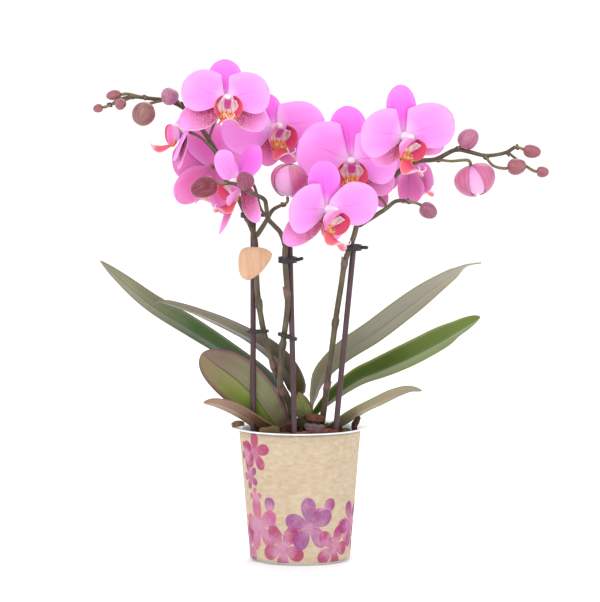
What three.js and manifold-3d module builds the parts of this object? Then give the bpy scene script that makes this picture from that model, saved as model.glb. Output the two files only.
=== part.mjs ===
// Potted miniature moth orchid: a white grow pot in a paper sleeve, bark, two plants, three flower
// spikes on sticks, ten flowers and fourteen buds. Millimetres, +Z up, seen from -Y.
// The origin is on the pot's axis at the plane that it rests on.

import * as THREE from 'three';
import { mergeVertices } from 'three/addons/utils/BufferGeometryUtils.js';
import Module from 'manifold-3d';

const wasm = await Module();
wasm.setup();

// ---- driving dimensions, in millimetres and degrees ----

const CLEARANCE = 0.35;          // between pieces that touch
const POT_HEIGHT = 95.4;
const POT_TOP_RADIUS = 42.5;     // outer wall just under the flange
const POT_BASE_RADIUS = 34.5;
const POT_WALL = 1.2;
const POT_FLOOR = 2.4;
const FLANGE_RADIUS = 48;
const FLANGE_THICKNESS = 1;
const FLANGE_RISE = 0.7;         // the flange turns up towards its edge
const DRAIN_RADIUS = 3;
const DRAIN_CIRCLE = 22;
const DRAIN_COUNT = 6;
const POT_SIDES = 24;

const SLEEVE_PAPER = 0.6;
const SLEEVE_BOTTOM = 1.8;
const SLEEVE_TOP = 93.2;

const BARK_EDGE = 89;            // height of the bark where it meets the wall
const BARK_HEAP = 8;             // how far its middle stands above that
const BARK_RELIEF = 1.3;
const BARK_SIDES = 12;
const CHIP_COUNT = 6;
const CHIP_SIZE = [12, 8, 5];
const CHIP_REACH = 31;           // how far out from the axis the chips lie
const CHIP_TURN = 2.4;           // from one chip to the next, in radians
const CHIP_LEAN = 0.5;           // spread of the chips' slopes, in radians

const STICK_RADIUS = 2;
const STEM_RADIUS = 2.2;
const TWIG_RADIUS = 1.5;
const PEDICEL_RADIUS = 1.05;
const STICK_SIDES = 8;
const STEM_SIDES = 6;
const TWIG_SIDES = 5;
const PEDICEL_SIDES = 4;
const STEM_STEP = 16;            // length of one straight stretch of a stem
const TWIG_STEP = 14;
const NODE_SWELL = 0.6;          // how far a stem's node stands out of it
const NODE_LENGTH = 5;

const CLIP_WALL = 1.3;
const LEAF_THICKNESS = 1.5;
const TEPAL_THICKNESS = 0.8;
const LIP_THICKNESS = 0.8;
const HUB_REAR = 3;              // from a flower's centre back to its pedicel
const PEDICEL_STRAIGHT = 7;      // the last stretch of a pedicel, square to its flower

// Flower parts of a flower of size 1. `at` is the direction in the flower's face, from its right.
// A petal is broadest nearer its root on its upper side, which `shoulder` gives.
const TEPALS = {
  petalRight: {
    at: 14, length: 34, width: 34, claw: 0.16, widest: 0.6, level: 0.9, lift: [16, -6], cup: -0.06,
    shoulder: { claw: 0.3, widest: 0.42 },
  },
  petalLeft: {
    at: 166, length: 34, width: 34, claw: 0.16, widest: 0.6, level: 0.9, lift: [16, -6], cup: -0.06,
    shoulder: { claw: 0.3, widest: 0.42 },
  },
  dorsal: { at: 90, length: 34, width: 24, claw: 0.25, widest: 0.55, level: -1.1, lift: [-1, 3], cup: 0.05 },
  sepalRight: {
    at: -50, length: 36, width: 22, claw: 0.28, widest: 0.5, level: -1.1, lift: [-4, -12], cup: 0.04,
  },
  sepalLeft: {
    at: -130, length: 36, width: 22, claw: 0.28, widest: 0.5, level: -1.1, lift: [-4, -12], cup: 0.04,
  },
};
const TEPAL_ROOT = 1.5;          // from the axis of the flower to where a tepal starts

// Centre, and the way that each flower faces: `turn` to the viewer's right, `tilt` up, `lean` clockwise.
// `tepals` says where a flower's own tepals differ from TEPALS; `lip` turns its lip clockwise.
const FLOWERS = {
  top_left: {
    centre: [-51.6, -24, 327.7], turn: 3, tilt: 24, lean: -2, size: 0.98, lip: 0,
    tepals: {
      petalRight: { at: 12, length: 31, width: 33 },
      petalLeft: { at: 158, length: 32, width: 33 },
      dorsal: { length: 29 },
      sepalRight: { at: -34, length: 32 },
      sepalLeft: { at: -156, length: 36 },
    },
  },
  far_left: {
    centre: [-80.3, -7, 306.2], turn: -84, tilt: 25, lean: 0, size: 0.88, lip: 0,
    tepals: {
      petalRight: { at: -45, length: 30, width: 26, lift: [6, -10] },
      petalLeft: { at: 190, length: 25, width: 26 },
      sepalLeft: { length: 32 },
      dorsal: { at: 96, length: 18, width: 16, lift: [22, 16] },
    },
  },
  back_left: {
    centre: [-63.1, 24, 278], turn: -150, tilt: -10, lean: 0, size: 0.95, lip: 0,
    tepals: {
      petalRight: { at: 22, length: 31, width: 30 },
      sepalRight: { at: -33, length: 42, width: 24 },
      sepalLeft: { at: -102 },
    },
  },
  upper_centre: {
    centre: [-18.2, 18, 306.9], turn: 10, tilt: 12, lean: -8, size: 1.05, lip: 0,
    tepals: {
      petalRight: { at: 0, length: 33, width: 31 },
      petalLeft: { at: 178, length: 36, width: 32 },
      dorsal: { at: 102, length: 23, width: 20 },
      sepalRight: { at: -66, length: 26, width: 20 },
      sepalLeft: { at: -112, length: 34, width: 15 },
    },
  },
  low_left: {
    centre: [-41.3, -34, 271], turn: -55, tilt: 8, lean: 0, size: 0.9, lip: 0,
    tepals: {
      petalRight: { at: -38, length: 29, width: 22, lift: [22, 74] },
      petalLeft: { at: 130, length: 29, width: 26, lift: [30, 20] },
      dorsal: { length: 28, width: 18, lift: [-15, -10] },
      sepalRight: { at: -58, length: 33, width: 20, lift: [-12, -10] },
      sepalLeft: { at: -100, length: 42, width: 10, lift: [18, 12] },
    },
  },
  centre: {
    centre: [36.3, -8, 284.3], turn: -4, tilt: 8, lean: -6, size: 1.12, lip: 0,
    tepals: {
      petalRight: { at: 2, length: 28, width: 34 },
      petalLeft: { at: 153, length: 34, width: 38 },
      sepalRight: { at: -40, length: 30 },
      sepalLeft: { at: -130, length: 26 },
    },
  },
  front: {
    centre: [18.6, -42, 253], turn: 26, tilt: -10, lean: -11, size: 1.05, lip: 18,
    tepals: {
      petalRight: { at: -5, length: 34, width: 28 },
      petalLeft: { at: 167, length: 29, width: 35, lift: [22, -2] },
      dorsal: { length: 32 },
      sepalRight: { at: -74, length: 24, width: 18 },
      sepalLeft: { at: -152, length: 35, lift: [-4, -4] },
    },
  },
  top_right: {
    centre: [72.4, -34, 303.7], turn: 16, tilt: -8, lean: -7, size: 1.03, lip: 4,
    tepals: {
      petalRight: { at: 10, width: 32 },
      petalLeft: { at: 170, length: 34, width: 35, lift: [24, 0] },
      dorsal: { width: 23 },
      sepalRight: { at: -24, length: 31, width: 18 },
      sepalLeft: { at: -142, length: 26, width: 20 },
    },
  },
  back_right: {
    centre: [79.1, 18, 277], turn: 105, tilt: 14, lean: 0, size: 0.82, lip: 0,
    tepals: {
      petalLeft: { at: 205, length: 26, width: 26 },
      dorsal: { length: 26 },
      sepalLeft: { at: -112, length: 24 },
      sepalRight: { at: -70, length: 24 },
    },
  },
  back_centre: {
    centre: [50, 17, 270], turn: 150, tilt: 0, lean: 0, size: 0.62, lip: 0, tepals: {},
  },
};

// Buds: centre, the last free point of the pedicel that carries it, length and width.
const BUDS = {
  left_1: { centre: [-142.4, -9, 321.8], from: [-137, -9, 323], length: 7, width: 6.2 },
  left_2: { centre: [-126.4, -16, 325], from: [-125, -10, 327], length: 8.5, width: 8.2 },
  left_3: { centre: [-131.5, -4, 330.8], from: [-122, -6, 332], length: 11, width: 7.4 },
  left_4: { centre: [-110.2, -14, 318], from: [-106, -9, 325], length: 17, width: 16 },
  left_5: { centre: [-91.9, -14, 330.5], from: [-90, -2, 331], length: 13.5, width: 12.5 },
  middle_1: { centre: [-66.7, -59, 269], from: [-58, -58.5, 272], length: 19, width: 14.5 },
  middle_2: { centre: [-38, -64.5, 274.5], from: [-38, -59.5, 270], length: 13.5, width: 12.5 },
  middle_3: { centre: [-8, -32, 272.4], from: [-9, -30, 257], length: 23, width: 24, opening: true },
  right_1: { centre: [118.5, -16, 301], from: [112, -15, 294.5], length: 15.5, width: 14 },
  right_2: { centre: [123.4, -21, 272], from: [119, -20, 285.5], length: 22, width: 28, opening: true },
  right_3: { centre: [163.5, -15, 292], from: [158, -15, 293], length: 12.5, width: 9.6 },
  right_4: { centre: [152.5, -19, 281.5], from: [144, -18, 280], length: 13.5, width: 11.6 },
  right_5: { centre: [171, -15, 277.5], from: [165, -15, 278], length: 8.8, width: 8 },
  right_6: { centre: [90.5, -21, 250.5], from: [84, -21, 255], length: 13, width: 11.4 },
};

// Sticks run from deep in the bark to their top ends.
const STICKS = {
  left: [[-33.4, -9, 58], [-33, -14, 250]],
  centre: [[-3, -34.5, 58], [-7.2, -17, 226]],
  right: [[21.6, -24, 58], [38, -20, 227]],
};

// Spikes: the stem from its crown to its tip, the side twigs, and the pedicels with what they carry.
const SPIKES = {
  left: {
    stem: [[-6, 0, 101], [-8, 0, 112], [-14, -4, 126], [-17.5, -8, 135], [-21.6, -11, 149], [-25.5, -14, 164],
      [-27.9, -17, 177], [-30.1, -20, 194], [-31, -20.8, 214], [-31.7, -20.5, 230], [-35.6, -19, 242],
      [-41, -9, 253], [-46, 3, 264], [-51, 11, 275], [-57.8, 13, 287]],
    twigs: [
      [[-57.8, 13, 287], [-64.8, 11, 299], [-70.4, 10, 307.6], [-79.5, 8, 319], [-90.7, 2, 326],
        [-106, -6, 328.8], [-117.4, -9, 330], [-125.8, -9, 328.5], [-133, -9, 324.5]],
      [[-31, -20.5, 232], [-25.7, -21.5, 240], [-22.9, -24, 245], [-19, -28, 251.5], [-13, -30, 255]],
    ],
    pedicels: [
      { points: [[-133, -9, 324.5]], bud: 'left_1' },
      { points: [[-117.4, -9, 330]], bud: 'left_2' },
      { points: [[-108, -8, 329]], bud: 'left_3' },
      { points: [[-95, -1, 327.5]], bud: 'left_4' },
      { points: [[-83, 6, 322]], bud: 'left_5' },
      { points: [[-13, -30, 255]], bud: 'middle_3' },
      { points: [[-64.8, 11, 299], [-60, 0, 312]], flower: 'top_left' },
      { points: [[-57.8, 13, 287]], flower: 'far_left' },
      { points: [[-46, 3, 264]], flower: 'back_left' },
    ],
    nodes: [0.2, 0.42, 0.72],
  },
  centre: {
    stem: [[-9, -4, 97], [-11.4, -5, 107], [-13.5, -8, 118], [-13.8, -12, 135], [-12.7, -16.5, 151],
      [-10.6, -22, 167], [-8.8, -26, 184], [-9.2, -25.5, 196], [-10.2, -24.5, 210], [-10.6, -23, 223],
      [-8.1, -17, 233], [-2.5, -8, 246], [3.2, 0, 264], [6, 9, 279]],
    twigs: [
      [[-10, -22, 225], [-13.7, -24, 235], [-18.6, -30, 241], [-22.4, -36, 246], [-23.5, -42, 254],
        [-24.8, -49, 260], [-31.1, -54, 264], [-37, -57, 266.6], [-43.6, -59, 271], [-50, -59, 272.6]],
    ],
    pedicels: [
      { points: [[-50, -59, 272.6]], bud: 'middle_1' },
      { points: [[-37, -57, 266.6]], bud: 'middle_2' },
      { points: [[-20.5, -33, 243.5], [-27, -36, 252]], flower: 'low_left' },
      { points: [[6, 9, 279], [2, 25, 293]], flower: 'upper_centre' },
    ],
    nodes: [0.12, 0.3, 0.5],
  },
  right: {
    stem: [[15.5, -5, 97], [17.7, -8, 113.5], [20.2, -11, 133], [23, -14, 155], [25.8, -17, 177],
      [28.9, -21.5, 197], [31.7, -24.5, 215], [35.2, -25.5, 225], [38.3, -25, 234], [40.5, -22, 242],
      [46.2, -8, 252.5], [56.2, 4, 262.5], [64.8, 6, 271], [73.2, 3, 279.5]],
    twigs: [
      [[73.2, 3, 279.5], [84.4, -4, 284.5], [95.6, -10, 286], [110.3, -14, 293], [119.4, -15, 291.5],
        [130, -15, 289], [138.4, -15, 289.5], [146, -15, 291.5], [152, -15, 295.5]],
      [[40.8, -22, 239.7], [52.5, -20, 246.6], [60.9, -20, 252], [67.2, -21, 257], [75, -21, 257.5]],
    ],
    pedicels: [
      { points: [[110.3, -14, 293]], bud: 'right_1' },
      { points: [[95.6, -10, 286], [106, -15, 285]], bud: 'right_2' },
      { points: [[152, -15, 295.5]], bud: 'right_3' },
      { points: [[130, -15, 289], [136, -17, 282]], bud: 'right_4' },
      { points: [[146, -15, 291.5], [153, -12, 286]], bud: 'right_5' },
      { points: [[75, -21, 257.5]], bud: 'right_6' },
      { points: [[40.5, -22, 242]], flower: 'front' },
      { points: [[46.2, -8, 252.5]], flower: 'centre' },
      { points: [[64.8, 6, 271], [68, -4, 284]], flower: 'top_right' },
      { points: [[73.2, 3, 279.5]], flower: 'back_right' },
      { points: [[60.9, -20, 252], [59, -8, 256]], flower: 'back_centre' },
    ],
    nodes: [0.13, 0.35, 0.56],
  },
};

// Leaves: the line along the middle, the full width, the roll about that line at even steps from base
// to tip, and the angle of the fold along the midrib. A greater `taper` gives a more pointed tip.
const LEAVES = {
  left_long: {
    spine: [[-6, 8, 102], [-14, 10, 119], [-28, 13, 131], [-54, 16, 148], [-79, 16, 164], [-107, 13, 182],
      [-128, 9, 200], [-142, 5, 213]],
    width: 27, roll: [35, 36, 36], fold: 14, widest: 0.5, claw: 0.6, taper: 0.8,
  },
  left_upper: {
    spine: [[-2, 5, 102], [-3, 6, 122], [-12, 6, 139.5], [-27, 5, 153], [-47, 2, 164.5], [-68, -3, 174.5],
      [-87, -8, 182], [-99, -12, 185], [-107, -14, 182]],
    width: 27, roll: [62, 36, 20, 14, 10], fold: 12, widest: 0.4, claw: 0.5, taper: 0.5,
  },
  left_front: {
    spine: [[-8, 1, 84], [-15, -6, 93], [-22, -8, 103], [-30, -8, 114.5], [-41, -9, 126], [-51, -11, 134.5],
      [-61, -14, 142], [-69, -16, 149]],
    width: 34, roll: [75, 75, 70], fold: 8, widest: 0.62, claw: 0.3, taper: 0.5,
  },
  left_small: {
    spine: [[-9, 0, 85], [-21, -10, 92.5], [-32, -12, 100], [-43, -13, 107], [-54, -14, 112], [-62, -15, 114],
      [-68, -16, 114]],
    width: 15, roll: [45, 40, 40], fold: 10, widest: 0.6, claw: 0.6, taper: 0.5,
  },
  right_upper: {
    spine: [[8, 4, 102], [10, 6, 116], [15, 8, 131], [31, 10, 147], [52, 10, 161], [73, 9, 177],
      [94, 7, 193], [110, 6, 204], [119, 6, 209.5], [129, 6, 211.5]],
    width: 25, roll: [-55, -52, -50, -48, -46, -44, -42, -36, 10], fold: 10,
    widest: 0.55, claw: 0.5, taper: 0.75,
  },
  right_middle: {
    spine: [[8, 4, 100], [16, 5, 109], [29.5, 4, 120.5], [43, 2, 129.5], [56, -1, 135], [68, -4, 140.5],
      [81, -7, 147], [94, -9, 154], [107, -10, 161.5], [117, -9, 167.5], [127.5, -8, 174]],
    width: 32, roll: [-35, -35, -35], fold: 16, widest: 0.72, claw: 0.26, taper: 0.55,
  },
  right_small: {
    spine: [[9, -1, 86], [21, -8, 93.5], [29.5, -9, 99.5], [43, -11, 108], [56, -12, 114.5], [68, -14, 120.5],
      [78, -16, 123.5], [86, -17, 122.5]],
    width: 15, roll: [-35, -32, -32], fold: 10, widest: 0.6, claw: 0.6, taper: 0.5,
  },
  centre_young: {
    spine: [[5, -9, 99], [3, -10, 108], [1, -11, 115], [-1, -11, 121]],
    width: 12, roll: [80, 80, 80], fold: 12, widest: 0.35, claw: 0.7, taper: 0.8,
  },
};

// Crowns: the short plant bases that the leaves and spikes grow from.
const CROWNS = {
  left: { at: [-8, 2], radius: 6, bottom: 74, top: 103 },
  right: { at: [8, 0], radius: 6, bottom: 74, top: 103 },
};

// Clips: centre, outer length and depth, height, slope to the side, and how far the grip reaches to
// the right of the band and rises.
const CLIPS = {
  left_lower: { centre: [-30, -15, 164.5], length: 16.5, depth: 11, height: 1.8, slope: -3, grip: [0, 0] },
  left_upper: { centre: [-35, -16.5, 247], length: 14, depth: 12, height: 3.6, slope: 0, grip: [4, 0] },
  centre_lower: { centre: [-8.8, -21, 161.5], length: 14.5, depth: 12, height: 2.4, slope: 17, grip: [0, 0] },
  centre_upper: {
    centre: [-8.7, -20.8, 215.8], length: 13.5, depth: 13, height: 4.4, slope: 0, grip: [4.6, 14],
  },
  right_upper: {
    centre: [36.8, -22.8, 224.6], length: 13.5, depth: 13, height: 4.4, slope: 0, grip: [4.6, 0],
  },
};
const GRIP_SIZE = [3, 2.6];      // a grip's depth and height

const TAG_CENTRE = [-32.6, -23.4, 213.5];
const TAG_OUTLINE = [[-8.2, 10.1], [2.8, 11.4], [10.3, 9.4], [13, 6.1], [6.7, -4.7], [0.9, -9.7],
  [-4.1, -11.9], [-8.6, -9.7], [-10.9, -0.4]];
const TAG_THICKNESS = 1.2;

// ---- materials ----

const COLOURS = {
  potWhite: [0xf2f3f4, 0.35],
  paper: [0xd9c39c, 0.85],
  bark: [0x5b3a2c, 0.95],
  stick: [0x4a333a, 0.45],
  clip: [0x2f2a30, 0.4],
  tag: [0xe9b98c, 0.7],
  stem: [0x6b6148, 0.6],
  leafGreen: [0x4f7a2c, 0.45],
  leafUnder: [0x8d8f5e, 0.55],
  crown: [0x8a7a45, 0.7],
  petal: [0xe07fd2, 0.55],
  lip: [0xd8415f, 0.5],
  bud: [0xa7647a, 0.55],
};

function finish([color, roughness]) {
  return new THREE.MeshStandardMaterial({ color, roughness, metalness: 0, side: THREE.DoubleSide });
}

// ---- solids ----

const MERGE_DISTANCE = 1e-4;

function toSolid(geometry) {
  const bare = new THREE.BufferGeometry();
  bare.setAttribute('position', geometry.getAttribute('position'));
  if (geometry.index) bare.setIndex(geometry.index);
  const merged = mergeVertices(bare, MERGE_DISTANCE);
  const corners = [];
  const index = merged.index.array;
  for (let i = 0; i < index.length; i += 3) {
    const [a, b, c] = [index[i], index[i + 1], index[i + 2]];
    if (a !== b && b !== c && c !== a) corners.push(a, b, c);
  }
  return new wasm.Manifold(new wasm.Mesh({
    numProp: 3,
    vertProperties: Float32Array.from(merged.attributes.position.array),
    triVerts: Uint32Array.from(corners),
  }));
}

function toGeometry(solid) {
  const { numProp, vertProperties, triVerts } = solid.getMesh();
  const positions = new Float32Array((vertProperties.length / numProp) * 3);
  for (let i = 0; i < positions.length / 3; i += 1) {
    for (let k = 0; k < 3; k += 1) positions[3 * i + k] = vertProperties[numProp * i + k];
  }
  const geometry = new THREE.BufferGeometry();
  geometry.setAttribute('position', new THREE.BufferAttribute(positions, 3));
  geometry.setIndex([...triVerts]);
  geometry.computeVertexNormals();
  return geometry;
}

const join = (solids) => solids.reduce((all, one) => all.add(one));
const carve = (solid, tools) => tools.reduce((rest, tool) => rest.subtract(tool), solid);

/** The largest of the bodies that a cut leaves. */
function largest(solid) {
  const bodies = solid.decompose();
  return bodies.reduce((best, body) => (body.volume() > best.volume() ? body : best));
}

/** Closed blade about surface(s, t), with s in rows and t in columns. */
function blade(surface, rows, columns, thickness) {
  const step = 0.01;
  const normalAt = (s, t) => {
    const [s0, s1] = [Math.max(0, s - step), Math.min(1, s + step)];
    const [t0, t1] = [Math.max(-1, t - step), Math.min(1, t + step)];
    const along = surface(s1, t).sub(surface(s0, t));
    const across = surface(s, t1).sub(surface(s, t0));
    return along.cross(across).normalize();
  };
  const positions = [];
  for (const side of [0.5, -0.5]) {
    for (const s of rows) {
      for (const t of columns) {
        positions.push(...surface(s, t).addScaledVector(normalAt(s, t), side * thickness));
      }
    }
  }
  const [n, m] = [rows.length, columns.length];
  const top = (i, j) => i * m + j;
  const under = (i, j) => n * m + i * m + j;
  const faces = [];
  const wall = (a, b) => faces.push(under(...a), under(...b), top(...b), under(...a), top(...b), top(...a));
  for (let i = 0; i + 1 < n; i += 1) {
    for (let j = 0; j + 1 < m; j += 1) {
      faces.push(top(i, j), top(i + 1, j), top(i + 1, j + 1), top(i, j), top(i + 1, j + 1), top(i, j + 1));
      faces.push(under(i, j), under(i + 1, j + 1), under(i + 1, j));
      faces.push(under(i, j), under(i, j + 1), under(i + 1, j + 1));
    }
    wall([i, 0], [i + 1, 0]);
    wall([i + 1, m - 1], [i, m - 1]);
  }
  for (let j = 0; j + 1 < m; j += 1) {
    wall([0, j + 1], [0, j]);
    wall([n - 1, j], [n - 1, j + 1]);
  }
  const geometry = new THREE.BufferGeometry();
  geometry.setAttribute('position', new THREE.Float32BufferAttribute(positions, 3));
  geometry.setIndex(faces);
  return toSolid(geometry);
}

function curveThrough(points) {
  const stops = points.map((p) => new THREE.Vector3(...p));
  if (stops.length === 2) return new THREE.LineCurve3(...stops);
  return new THREE.CatmullRomCurve3(stops, false, 'centripetal');
}

/** Round rod along the points, with the given number of sides; a curved one is made of straight steps. */
function rod(points, radius, sides, spacing = TWIG_STEP) {
  const path = curveThrough(points);
  const steps = path.isLineCurve3 ? 1 : Math.max(2, Math.round(path.getLength() / spacing));
  const ring = [];
  for (let i = 0; i < sides; i += 1) {
    const angle = (2 * Math.PI * i) / sides;
    ring.push(new THREE.Vector2(radius * Math.cos(angle), radius * Math.sin(angle)));
  }
  const geometry = new THREE.ExtrudeGeometry(new THREE.Shape(ring), {
    steps, extrudePath: path, bevelEnabled: false, curveSegments: 1,
  });
  return toSolid(geometry);
}

/** Solid turned about +Z from a closed profile of radius and height. */
function turned(profile, sides) {
  const geometry = new THREE.LatheGeometry(profile.map(([r, z]) => new THREE.Vector2(r, z)), sides);
  geometry.rotateX(Math.PI / 2);
  return toSolid(geometry);
}

/** Matrix that stands local +Z along the direction, at the place. */
function standing(place, direction) {
  const upright = new THREE.Vector3(0, 0, 1);
  const turn = new THREE.Quaternion().setFromUnitVectors(upright, direction.clone().normalize());
  return new THREE.Matrix4().compose(place, turn, new THREE.Vector3(1, 1, 1));
}

const moved = (solid, matrix) => solid.transform(matrix.toArray());

/** Seeded random numbers from 0 to 1. */
function randomFrom(seed) {
  let state = seed;
  return () => {
    state = (state * 1664525 + 1013904223) % 4294967296;
    return state / 4294967296;
  };
}

// ---- pot, sleeve and bark ----

const wallRadius = (z) => POT_BASE_RADIUS + ((POT_TOP_RADIUS - POT_BASE_RADIUS) * z) / POT_HEIGHT;

function makePot() {
  const corner = 2.5;
  const lip = POT_HEIGHT - FLANGE_THICKNESS - FLANGE_RISE;
  const inside = (z) => wallRadius(z) - POT_WALL;
  const profile = [
    [0, 0],
    [POT_BASE_RADIUS - corner, 0],
    [wallRadius(corner), corner],
    [wallRadius(lip), lip],
    [wallRadius(lip) + 2, lip + 0.2],
    [FLANGE_RADIUS, lip + FLANGE_RISE],
    [FLANGE_RADIUS, POT_HEIGHT],
    [wallRadius(lip) + 1, lip + FLANGE_THICKNESS + 0.2],
    [inside(lip), lip],
    [inside(POT_FLOOR), POT_FLOOR],
    [0, POT_FLOOR],
  ];
  const drains = [];
  for (let i = 0; i < DRAIN_COUNT; i += 1) {
    const angle = (2 * Math.PI * i) / DRAIN_COUNT;
    const hole = new THREE.CylinderGeometry(DRAIN_RADIUS, DRAIN_RADIUS, 4 * POT_FLOOR, 6);
    hole.rotateX(Math.PI / 2);
    hole.translate(DRAIN_CIRCLE * Math.cos(angle), DRAIN_CIRCLE * Math.sin(angle), 0);
    drains.push(toSolid(hole));
  }
  return carve(turned(profile, POT_SIDES), drains);
}

function makeSleeve() {
  const inner = (z) => wallRadius(z) + CLEARANCE;
  const profile = [
    [inner(SLEEVE_BOTTOM), SLEEVE_BOTTOM],
    [inner(SLEEVE_BOTTOM) + SLEEVE_PAPER, SLEEVE_BOTTOM],
    [inner(SLEEVE_TOP) + SLEEVE_PAPER, SLEEVE_TOP],
    [inner(SLEEVE_TOP), SLEEVE_TOP],
    [inner(SLEEVE_BOTTOM), SLEEVE_BOTTOM],
  ];
  return turned(profile, POT_SIDES);
}

/** Height of the bark over a point, before its chips. */
function barkHeight(x, y) {
  const reach = Math.hypot(x, y) / (wallRadius(BARK_EDGE) - POT_WALL);
  const ripple = Math.sin(0.42 * x + 1) * Math.cos(0.5 * y) + 0.5 * Math.sin(0.9 * x - 0.7 * y);
  return BARK_EDGE + BARK_HEAP * (1 - reach ** 2) + BARK_RELIEF * ripple * Math.min(1, 3 * (1 - reach));
}

function makeBark(tools) {
  const inside = (z) => wallRadius(z) - POT_WALL - CLEARANCE;
  const bottom = POT_FLOOR + CLEARANCE;
  const profile = [[0, bottom], [inside(bottom), bottom], [inside(BARK_EDGE), BARK_EDGE]];
  const rings = 3;
  for (let i = rings - 1; i >= 0; i -= 1) profile.push([(inside(BARK_EDGE) * i) / rings, BARK_EDGE + 0.01]);
  const heap = new THREE.LatheGeometry(profile.map(([r, z]) => new THREE.Vector2(r, z)), BARK_SIDES);
  heap.rotateX(Math.PI / 2);
  const place = heap.getAttribute('position');
  for (let i = 0; i < place.count; i += 1) {
    if (place.getZ(i) > BARK_EDGE) place.setZ(i, barkHeight(place.getX(i), place.getY(i)));
  }
  const random = randomFrom(7);
  const pieces = [toSolid(heap)];
  for (let i = 0; i < CHIP_COUNT; i += 1) {
    const angle = i * CHIP_TURN;
    const reach = CHIP_REACH * Math.sqrt((i + 0.5) / CHIP_COUNT);
    const [x, y] = [reach * Math.cos(angle), reach * Math.sin(angle)];
    const scale = 0.75 + 0.5 * random();
    const chip = new THREE.BoxGeometry(...CHIP_SIZE.map((side) => side * scale));
    chip.rotateX(CHIP_LEAN * (random() - 0.5));
    chip.rotateY(CHIP_LEAN * (random() - 0.5));
    chip.rotateZ(Math.PI * random());
    chip.translate(x, y, barkHeight(x, y) + 0.3);
    pieces.push(toSolid(chip));
  }
  return largest(carve(join(pieces), tools));
}

// ---- crowns, leaves, sticks, clips and tag ----

function makeCrown({ at, radius, bottom, top }, grow) {
  const g = grow;
  const profile = [
    [0, bottom - g],
    [0.55 * radius + g, bottom - g],
    [radius + g, bottom + 0.4 * (top - bottom)],
    [radius + g, bottom + 0.75 * (top - bottom)],
    [0.6 * radius + g, top + g],
    [0, top + g],
  ];
  return moved(turned(profile, 8), new THREE.Matrix4().makeTranslation(at[0], at[1], 0));
}

/** Half the width of a leaf or tepal at s: a claw that opens out, then a round tip. */
function halfWidth(s, { width, claw, widest, taper = 0.5 }) {
  if (s < widest) return (width / 2) * (claw + (1 - claw) * Math.sin((Math.PI / 2) * (s / widest)));
  return (width / 2) * Math.max(0, 1 - ((s - widest) / (1 - widest)) ** 2) ** taper;
}

/** Value at s of numbers that stand at even steps from 0 to 1. */
function valueAt(numbers, s) {
  const place = s * (numbers.length - 1);
  const step = Math.min(Math.floor(place), numbers.length - 2);
  return numbers[step] + (numbers[step + 1] - numbers[step]) * (place - step);
}

function leafSurface(leaf) {
  const spine = curveThrough(leaf.spine);
  return (s, t) => {
    const tangent = spine.getTangentAt(s);
    const level = new THREE.Vector3(-tangent.y, tangent.x, 0).normalize();
    const roll = THREE.MathUtils.degToRad(valueAt(leaf.roll, s));
    const side = level.applyAxisAngle(tangent, roll);
    const up = tangent.clone().cross(side);
    const half = halfWidth(s, leaf);
    const fold = THREE.MathUtils.degToRad(leaf.fold);
    return spine.getPointAt(s)
      .addScaledVector(side, half * t * Math.cos(fold))
      .addScaledVector(up, half * Math.abs(t) * Math.sin(fold));
  };
}

const LEAF_ROWS = [0, 0.12, 0.26, 0.4, 0.54, 0.68, 0.8, 0.91, 0.985];
const SMALL_LEAF_ROWS = [0, 0.18, 0.36, 0.54, 0.75, 0.91, 0.985];
const LEAF_COLUMNS = [-1, -0.5, 0, 0.5, 1];
const SMALL_LEAF = 20;           // a leaf narrower than this has fewer rows

function makeLeaf(leaf, grow) {
  const wider = { ...leaf, width: leaf.width + 2 * grow };
  const rows = leaf.width < SMALL_LEAF ? SMALL_LEAF_ROWS : LEAF_ROWS;
  return blade(leafSurface(wider), rows, LEAF_COLUMNS, LEAF_THICKNESS + 2 * grow);
}

function makeStick(ends, grow) {
  return rod(ends, STICK_RADIUS + grow, STICK_SIDES);
}

function makeClip({ centre, length, depth, height, slope, grip }) {
  const wall = CLIP_WALL;
  const oblong = (long, wide) => {
    const shape = new THREE.Shape();
    const [r, x] = [wide / 2, (long - wide) / 2];
    shape.absarc(x, 0, r, -Math.PI / 2, Math.PI / 2, false);
    shape.absarc(-x, 0, r, Math.PI / 2, (3 * Math.PI) / 2, false);
    return shape;
  };
  const ring = oblong(length, depth);
  ring.holes.push(oblong(length - 2 * wall, depth - 2 * wall));
  const geometry = new THREE.ExtrudeGeometry(ring, { depth: height, bevelEnabled: false, curveSegments: 2 });
  geometry.translate(0, 0, -height / 2);
  geometry.rotateY(THREE.MathUtils.degToRad(slope));
  geometry.translate(...centre);
  const band = toSolid(geometry);
  const [reach, rise] = grip;
  if (!reach) return band;
  const tail = new THREE.BoxGeometry(reach + wall, ...GRIP_SIZE);
  tail.translate((reach + wall) / 2 - wall, 0, 0);
  tail.rotateY(-THREE.MathUtils.degToRad(rise));
  tail.translate(centre[0] + length / 2, centre[1], centre[2]);
  return join([band, toSolid(tail)]);
}

/** Thin wooden tag, a rounded triangle with its point to the upper right. */
function makeTag() {
  const edge = new THREE.CatmullRomCurve3(TAG_OUTLINE.map(([x, z]) => new THREE.Vector3(x, z, 0)), true);
  const geometry = new THREE.ExtrudeGeometry(new THREE.Shape(edge.getPoints(24).slice(0, -1)), {
    depth: TAG_THICKNESS, bevelEnabled: false,
  });
  geometry.rotateX(Math.PI / 2);
  geometry.translate(...TAG_CENTRE);
  return toSolid(geometry);
}

// ---- flowers and buds ----

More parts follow.
